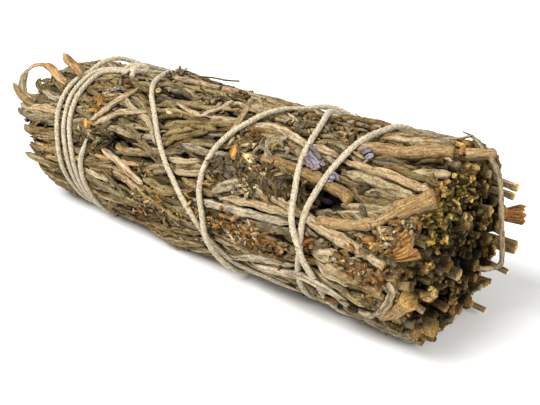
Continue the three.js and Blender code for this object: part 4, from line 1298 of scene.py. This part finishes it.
def add_hooked_stem():
    """A twig that arches out over the cut end and hooks down in front of it."""
    path = curve(HOOKED_STEM_ROUTE, 0.6) + CENTRE
    share = np.linspace(0, 1, len(path))
    radii = 0.46 * (0.3 + 0.7 * ease(share, 0, 0.22)) * (1 + 0.1 * rng.normal(size=len(path)))
    outward = np.tile([0.4, 0.9, 0.1], (len(path), 1))
    hooked.add(sweep(path, outward, TWIG_PROFILE, radii, radii), STEM, (0.92, 0.88, 0.6), PITH)


add_free_ends()
# The fan is painted more than twice as light as its own colour: painted light on a side that faces away
# from the lamps.
add_fan(sprigs[180], [(50.5, 178), (52.6, 176), (54.8, 174)], depths=(14.4, 15.2), narrow=0.7,
        wide=2.0, looks=(0.68, 2.2, 0.35))
hooked = Piece("hooked_stem_detail", False)
add_hooked_stem()

# ---------------------------------------------------------------- the twine

# Where one turn stands off the sprigs: its angle along the route, how wide and how high.
LOOSE_LOOP, LOOSE_SPAN, LOOSE_HEIGHT = -977, 27, 1.5
# How fast the twine climbs over an earlier turn, and how many earlier points can't be another turn.
CLIMB, OWN_POINTS = 0.2, 25
# The plies of the twine: their number, radius, distance from its middle, and length of one twist.
PLIES, PLY_RADIUS, PLY_OFFSET, TWIST = 3, 0.46, 0.135, 4.6
# Millimetres over which the twine's first end thins out.
FRAYED = 3.5


def twine_path():
    """The twine lies taut over the sprigs and over its own earlier turns."""
    beds = surface.rest(route, 0.5, 0.2)
    beds = np.array([beds[max(0, i - 2):i + 3].max() for i in range(len(beds))])
    radii = smooth(beds, 5) / CUT_RADIUS * bundle_radius(route[:, 0]) + TWINE_RADIUS - 0.05
    clearance = 2.0 * TWINE_RADIUS
    for later in range(len(route)):
        earlier = slice(0, max(0, later - OWN_POINTS))
        gaps = np.hypot(route[earlier, 0] - route[later, 0],
                        arc_gap(route[earlier, 1], route[later, 1]))
        close = np.nonzero(gaps < clearance)[0]
        if not len(close):
            continue
        raised = radii[close].max() + clearance
        for near in range(max(0, later - 9), min(len(route), later + 10)):
            radii[near] = max(radii[near], raised - CLIMB * max(0, abs(near - later) - 2))
    radii = smooth(radii, 2)
    turn = route[:, 1] / CUT_RADIUS
    away = (np.degrees(turn) - LOOSE_LOOP) / LOOSE_SPAN
    radii += LOOSE_HEIGHT * np.clip(1 - away ** 2, 0, 1) ** 1.2
    y = -radii * np.cos(turn) + CENTRE[1]
    z = axis_height(route[:, 0]) + radii * np.sin(turn)
    return np.stack([route[:, 0] + CENTRE[0], y, np.maximum(z, TWINE_RADIUS + 0.05)], -1)


def add_cord(path, outward, frayed=False):
    """A twisted cord: each ply winds round the path."""
    tangent = unit(np.gradient(path, axis=0))
    out = unit(outward - (outward * tangent).sum(1, keepdims=True) * tangent)
    side = np.cross(tangent, out)
    along = distances(path)
    for ply in range(PLIES):
        turn = 2 * np.pi * (along / TWIST + ply / PLIES)
        offset = side * np.cos(turn)[:, None] + out * np.sin(turn)[:, None]
        radii = PLY_RADIUS * (1 + 0.03 * np.sin(along * 1.7 + ply) + 0.02 * rng.normal(size=len(along)))
        if frayed:
            radii = radii * (0.35 + 0.65 * ease(along, 0, FRAYED))
        rings = sweep(path + offset * PLY_OFFSET, offset, TWIG_PROFILE, radii, radii)
        twine.add(rings, 0, (0.5, 1.05, 0.3 + 0.1 * ply))


def add_winding():
    """The long cord round the bundle."""
    path = curve(twine_path(), 0.75)
    axis = np.stack([np.zeros(len(path)), np.full(len(path), CENTRE[1]),
                     axis_height(path[:, 0] - CENTRE[0])], -1)
    add_cord(path, (path - axis) * (0, 1, 1), frayed=True)


def add_knot():
    """The half hitch where the last turn is tied off, and its short frayed tail."""
    turn = np.linspace(0, 2 * np.pi, 60)
    x = -27.8 + 1.7 * np.sin(turn) + 0.5 * np.cos(2 * turn)
    arc = arc_of(91 + 7.0 * np.sin(2 * turn + 0.5))
    add_cord(place(x, arc, 18.3 + 0.55 * np.cos(3 * turn)), radial(arc))
    tail = bundle_line([(-28.0, 90, 18.2), (-26.6, 85, 18.5), (-25.4, 79, 17.9)], 0.5)
    add_cord(place(*tail.T), radial(tail[:, 1]))


twine = Piece("binding_twine_detail", False)
add_winding()
add_knot()

# ---------------------------------------------------------------- materials


# How far apart the seeds move the noise of two strips, in each direction.
SEED_MOVES = (37.0, 48.0, 59.0)
# The height of the relief in metres, and how strong its specks are beside its fibres.
RELIEF, SPECK_RELIEF = 0.0003, 0.45


class Shader:
    """A material's nodes, each made by one call that returns its output."""

    def __init__(self, name):
        self.material = bpy.data.materials.new(name)
        self.material.use_nodes = True
        self.nodes = self.material.node_tree.nodes
        self.surface = self.nodes["Principled BSDF"]

    def feed(self, socket, value):
        """Links an output to the socket, or sets the socket to a number or colour."""
        if isinstance(value, bpy.types.NodeSocket):
            self.material.node_tree.links.new(value, socket)
        elif isinstance(value, (int, float)):
            socket.default_value = value
        else:
            socket.default_value = (*value, 1)

    def set_surface(self, **values):
        for name, value in values.items():
            self.feed(self.surface.inputs[name.replace("_", " ")], value)

    def node(self, kind, *values, **settings):
        """A new node of a kind, with its settings and its first inputs."""
        made = self.nodes.new("ShaderNode" + kind)
        for name, value in settings.items():
            setattr(made, name, value)
        for socket, value in zip(made.inputs, values):
            self.feed(socket, value)
        return made.outputs

    def maths(self, operation, *values):
        return self.node("Math", *values, operation=operation)[0]

    def ramp(self, factor, stops):
        output = self.node("ValToRGB", factor)[0]
        elements = output.node.color_ramp.elements
        while len(elements) > 1:
            elements.remove(elements[-1])
        elements[0].position, elements[0].color = stops[0][0], (*stops[0][1], 1)
        for position, colour in stops[1:]:
            elements.new(position).color = (*colour, 1)
        return output

    def mix(self, mode, factor, first, second):
        """A mix of two colours, which are its seventh and eighth inputs."""
        output = self.node("Mix", factor, data_type="RGBA", blend_type=mode)[2]
        self.feed(output.node.inputs[6], first)
        self.feed(output.node.inputs[7], second)
        return output

    def noise(self, seed, stretch, scale, detail, roughness=0.55):
        """Noise in millimetres along and round a strip, different on each strip."""
        grain = self.node("UVMap", uv_map="Grain")[0]
        scaled = self.node("VectorMath", operation="MULTIPLY")[0]
        self.feed(scaled.node.inputs[0], grain)
        scaled.node.inputs[1].default_value = stretch
        moves = [self.maths("MULTIPLY", seed, far) for far in SEED_MOVES]
        shift = self.node("CombineXYZ", *moves)[0]
        output = self.node("TexNoise", self.node("VectorMath", scaled, shift)[0])["Fac"]
        for name, value in (("Scale", scale), ("Detail", detail), ("Roughness", roughness)):
            output.node.inputs[name].default_value = value
        return output


def plant_material(name, stops, fibre, speckle, speckle_colour, bump, roughness, sheen=0.0,
                   streak=(0.38, 0.33, 0.26)):
    """A dry plant's colours by tint, with fibres along it, dust, fading, specks and relief."""
    shader = Shader(name)
    looks = shader.node("Attribute", attribute_name="look")["Vector"]
    tint, bright, seed = shader.node("SeparateXYZ", looks)
    patches = shader.noise(seed, (0.3, 0.3, 0), 1.0, 2.0)
    fibres = shader.noise(seed, (0.3, 2.0, 0), fibre, 4.0, 0.6)
    specks = shader.noise(seed, (1.1, 1.9, 0), 1.4, 4.0, 0.75)
    mottle = shader.noise(seed, (2.4, 3.1, 0), 1.0, 3.0, 0.7)

    varied = shader.maths("MULTIPLY_ADD", patches, 0.34, shader.maths("ADD", tint, -0.17))
    groove = shader.ramp(fibres, [(0.38, streak), (0.52, (0.9, 0.89, 0.87)), (0.7, (1.2, 1.19, 1.16))])
    colour = shader.mix("MULTIPLY", 1.0, shader.ramp(varied, stops), groove)
    dust = shader.ramp(mottle, [(0.34, (0.42, 0.38, 0.33)), (0.5, (1, 1, 1)), (0.72, (1.18, 1.17, 1.15))])
    colour = shader.mix("MULTIPLY", 1.0, colour, dust)
    faded = shader.ramp(seed, [(0.7, (0, 0, 0)), (0.9, (0.5, 0.5, 0.5))])
    dusty = shader.mix("MULTIPLY", 1.0, shader.node("RGBToBW", colour)[0], (1.14, 1.0, 0.8))
    colour = shader.mix("MIX", faded, colour, dusty)
    warm = shader.ramp(seed, [(0.0, (1.2, 0.98, 0.74)), (0.24, (1.03, 1, 0.96)), (1.0, (1.03, 1, 0.95))])
    colour = shader.mix("MULTIPLY", 1.0, colour, warm)
    spots = shader.ramp(specks, [(0.52, (0, 0, 0)), (0.7, (1, 1, 1))])
    colour = shader.mix("MIX", shader.maths("MULTIPLY", spots, speckle), colour, speckle_colour)
    # The brightness scales the colour: it holds each strip's own tone and the painted light and shade
    # laid into it.
    lit = shader.node("VectorMath", colour, operation="SCALE")[0]
    shader.feed(lit.node.inputs["Scale"], bright)

    bumped = shader.node("Bump")[0]
    relief = shader.maths("MULTIPLY_ADD", specks, SPECK_RELIEF, fibres)
    for socket, value in (("Strength", bump), ("Distance", RELIEF), ("Height", relief)):
        shader.feed(bumped.node.inputs[socket], value)
    shader.set_surface(Base_Color=lit, Normal=bumped, Roughness=roughness, Specular_IOR_Level=0.08,
                       Sheen_Weight=sheen)
    return shader.material


PLANT_MATERIALS = [
    plant_material(
        "dried_leaf",
        [(0.0, (0.045, 0.028, 0.011)), (0.18, (0.12, 0.084, 0.03)), (0.38, (0.24, 0.178, 0.076)),
         (0.55, (0.32, 0.25, 0.13)), (0.7, (0.38, 0.308, 0.185)), (0.85, (0.47, 0.392, 0.262)),
         (0.93, (0.44, 0.33, 0.215)), (1.0, (0.4, 0.24, 0.1))],
        fibre=1.0, speckle=0.35, speckle_colour=(0.48, 0.4, 0.26), bump=0.9, roughness=0.95),
    plant_material(
        "woody_stem",
        [(0.0, (0.07, 0.038, 0.014)), (0.3, (0.2, 0.12, 0.05)), (0.6, (0.41, 0.285, 0.14)),
         (0.85, (0.42, 0.32, 0.19)), (1.0, (0.36, 0.31, 0.22))],
        fibre=1.4, speckle=0.2, speckle_colour=(0.2, 0.12, 0.05), bump=0.9, roughness=0.85,
        streak=(0.5, 0.44, 0.36)),
    plant_material(
        "dried_flower",
        [(0.0, (0.085, 0.065, 0.042)), (0.1, (0.16, 0.13, 0.092)), (0.16, (0.23, 0.215, 0.26)),
         (0.3, (0.34, 0.32, 0.45)), (0.34, (0.12, 0.08, 0.05)), (0.42, (0.105, 0.06, 0.025)),
         (0.52, (0.19, 0.105, 0.04)), (0.66, (0.34, 0.18, 0.06)), (0.8, (0.52, 0.27, 0.065)),
         (0.9, (0.6, 0.42, 0.15)), (1.0, (0.75, 0.7, 0.52))],
        fibre=1.2, speckle=0.25, speckle_colour=(0.3, 0.22, 0.12), bump=0.9, roughness=0.92),
    plant_material(
        "cut_stem",
        [(0.0, (0.17, 0.095, 0.03)), (0.4, (0.42, 0.26, 0.08)), (0.7, (0.64, 0.43, 0.15)),
         (1.0, (0.7, 0.52, 0.25))],
        fibre=6.0, speckle=0.3, speckle_colour=(0.16, 0.09, 0.03), bump=0.8, roughness=0.9),
    plant_material(
        "olive_bract",
        [(0.0, (0.03, 0.025, 0.007)), (0.35, (0.13, 0.105, 0.026)), (0.7, (0.32, 0.25, 0.065)),
         (1.0, (0.58, 0.43, 0.12))],
        fibre=2.0, speckle=0.3, speckle_colour=(0.12, 0.1, 0.03), bump=0.9, roughness=0.9,
        streak=(0.5, 0.45, 0.35)),
]
TWINE_MATERIAL = plant_material(
    "cotton_twine",
    [(0.0, (0.4, 0.34, 0.235)), (0.5, (0.5, 0.44, 0.325)), (1.0, (0.56, 0.505, 0.395))],
    fibre=2.6, speckle=0.2, speckle_colour=(0.82, 0.75, 0.6), bump=0.3, roughness=0.92, sheen=0.3,
    streak=(0.78, 0.75, 0.68))

# ---------------------------------------------------------------- making the pieces


def finish_piece(piece, materials, slot, nodes):
    """Makes a piece, which stands in for nodes of the solid model."""
    made = piece.build(materials)
    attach(made, "root")
    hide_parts(*nodes)


for angle, piece in sprigs.items():
    name = NODES[angle]
    slot = {"woody": "woody_stem", "flowering": "dried_flower"}.get(name.split("_")[0], "dried_leaf")
    finish_piece(piece, PLANT_MATERIALS, slot, [name])
for name, numbers in HIDDEN.items():
    finish_piece(hidden[name], PLANT_MATERIALS, "woody_stem", [f"middle_sprig_{n:02d}" for n in numbers])
finish_piece(hidden["inner_sprigs_detail"], PLANT_MATERIALS, "woody_stem",
             ["core_sprig"] + [f"inner_sprig_{n:02d}" for n in range(1, 7)])
finish_piece(hooked, PLANT_MATERIALS, "woody_stem", ["hooked_stem"])
finish_piece(twine, [TWINE_MATERIAL], "cotton_twine", ["binding_twine"])

# ---------------------------------------------------------------- floor, light and camera


def add_floor():
    mesh = bpy.data.meshes.new("floor")
    mesh.from_pydata([(-1.5, -1.5, 0), (1.5, -1.5, 0), (1.5, 1.5, 0), (-1.5, 1.5, 0)], [], [(0, 1, 2, 3)])
    pale = Shader("pale_floor")
    pale.set_surface(Base_Color=(0.86, 0.86, 0.85), Roughness=0.9)
    mesh.materials.append(pale.material)
    link("floor", mesh)


# What the lamps shine at, in metres.
LIT_POINT = np.array([0, 0, 0.015])


def add_light(name, location, size, power):
    """A round lamp."""
    lamp = bpy.data.lights.new(name, "AREA")
    lamp.shape = "DISK"
    lamp.size = size
    lamp.energy = power
    light = link(name, lamp)
    light.location = location
    light.rotation_euler = Vector(LIT_POINT - location).to_track_quat("-Z", "Y").to_euler()


def add_world():
    scene = bpy.context.scene
    scene.world = bpy.data.worlds.new("studio")
    scene.world.use_nodes = True
    background = scene.world.node_tree.nodes["Background"]
    background.inputs["Color"].default_value = (1, 1, 1, 1)
    background.inputs["Strength"].default_value = 0.5
    scene.view_settings.view_transform = "Standard"


def add_camera():
    azimuth, elevation = math.radians(CAMERA_AZIMUTH), math.radians(CAMERA_ELEVATION)
    back = np.array([math.sin(azimuth) * math.cos(elevation), -math.cos(azimuth) * math.cos(elevation),
                     math.sin(elevation)])
    right = np.array([math.cos(azimuth), math.sin(azimuth), 0])
    lens = bpy.data.cameras.new("camera")
    lens.lens = CAMERA_LENS
    lens.sensor_width = 36.0
    lens.clip_start = 0.01
    camera = link("camera", lens)
    rows = np.stack([right, np.cross(back, right), back, CAMERA_AT * MM], 1)
    camera.matrix_world = Matrix([*rows.tolist(), (0, 0, 0, 1)])
    bpy.context.scene.camera = camera


add_floor()
add_light("key_light", (-0.18, -0.4, 0.62), size=0.4, power=7.4)
add_light("fill_light", (0.55, -0.2, 0.3), size=0.35, power=3.0)
add_world()
add_camera()

bpy.context.view_layer.update()
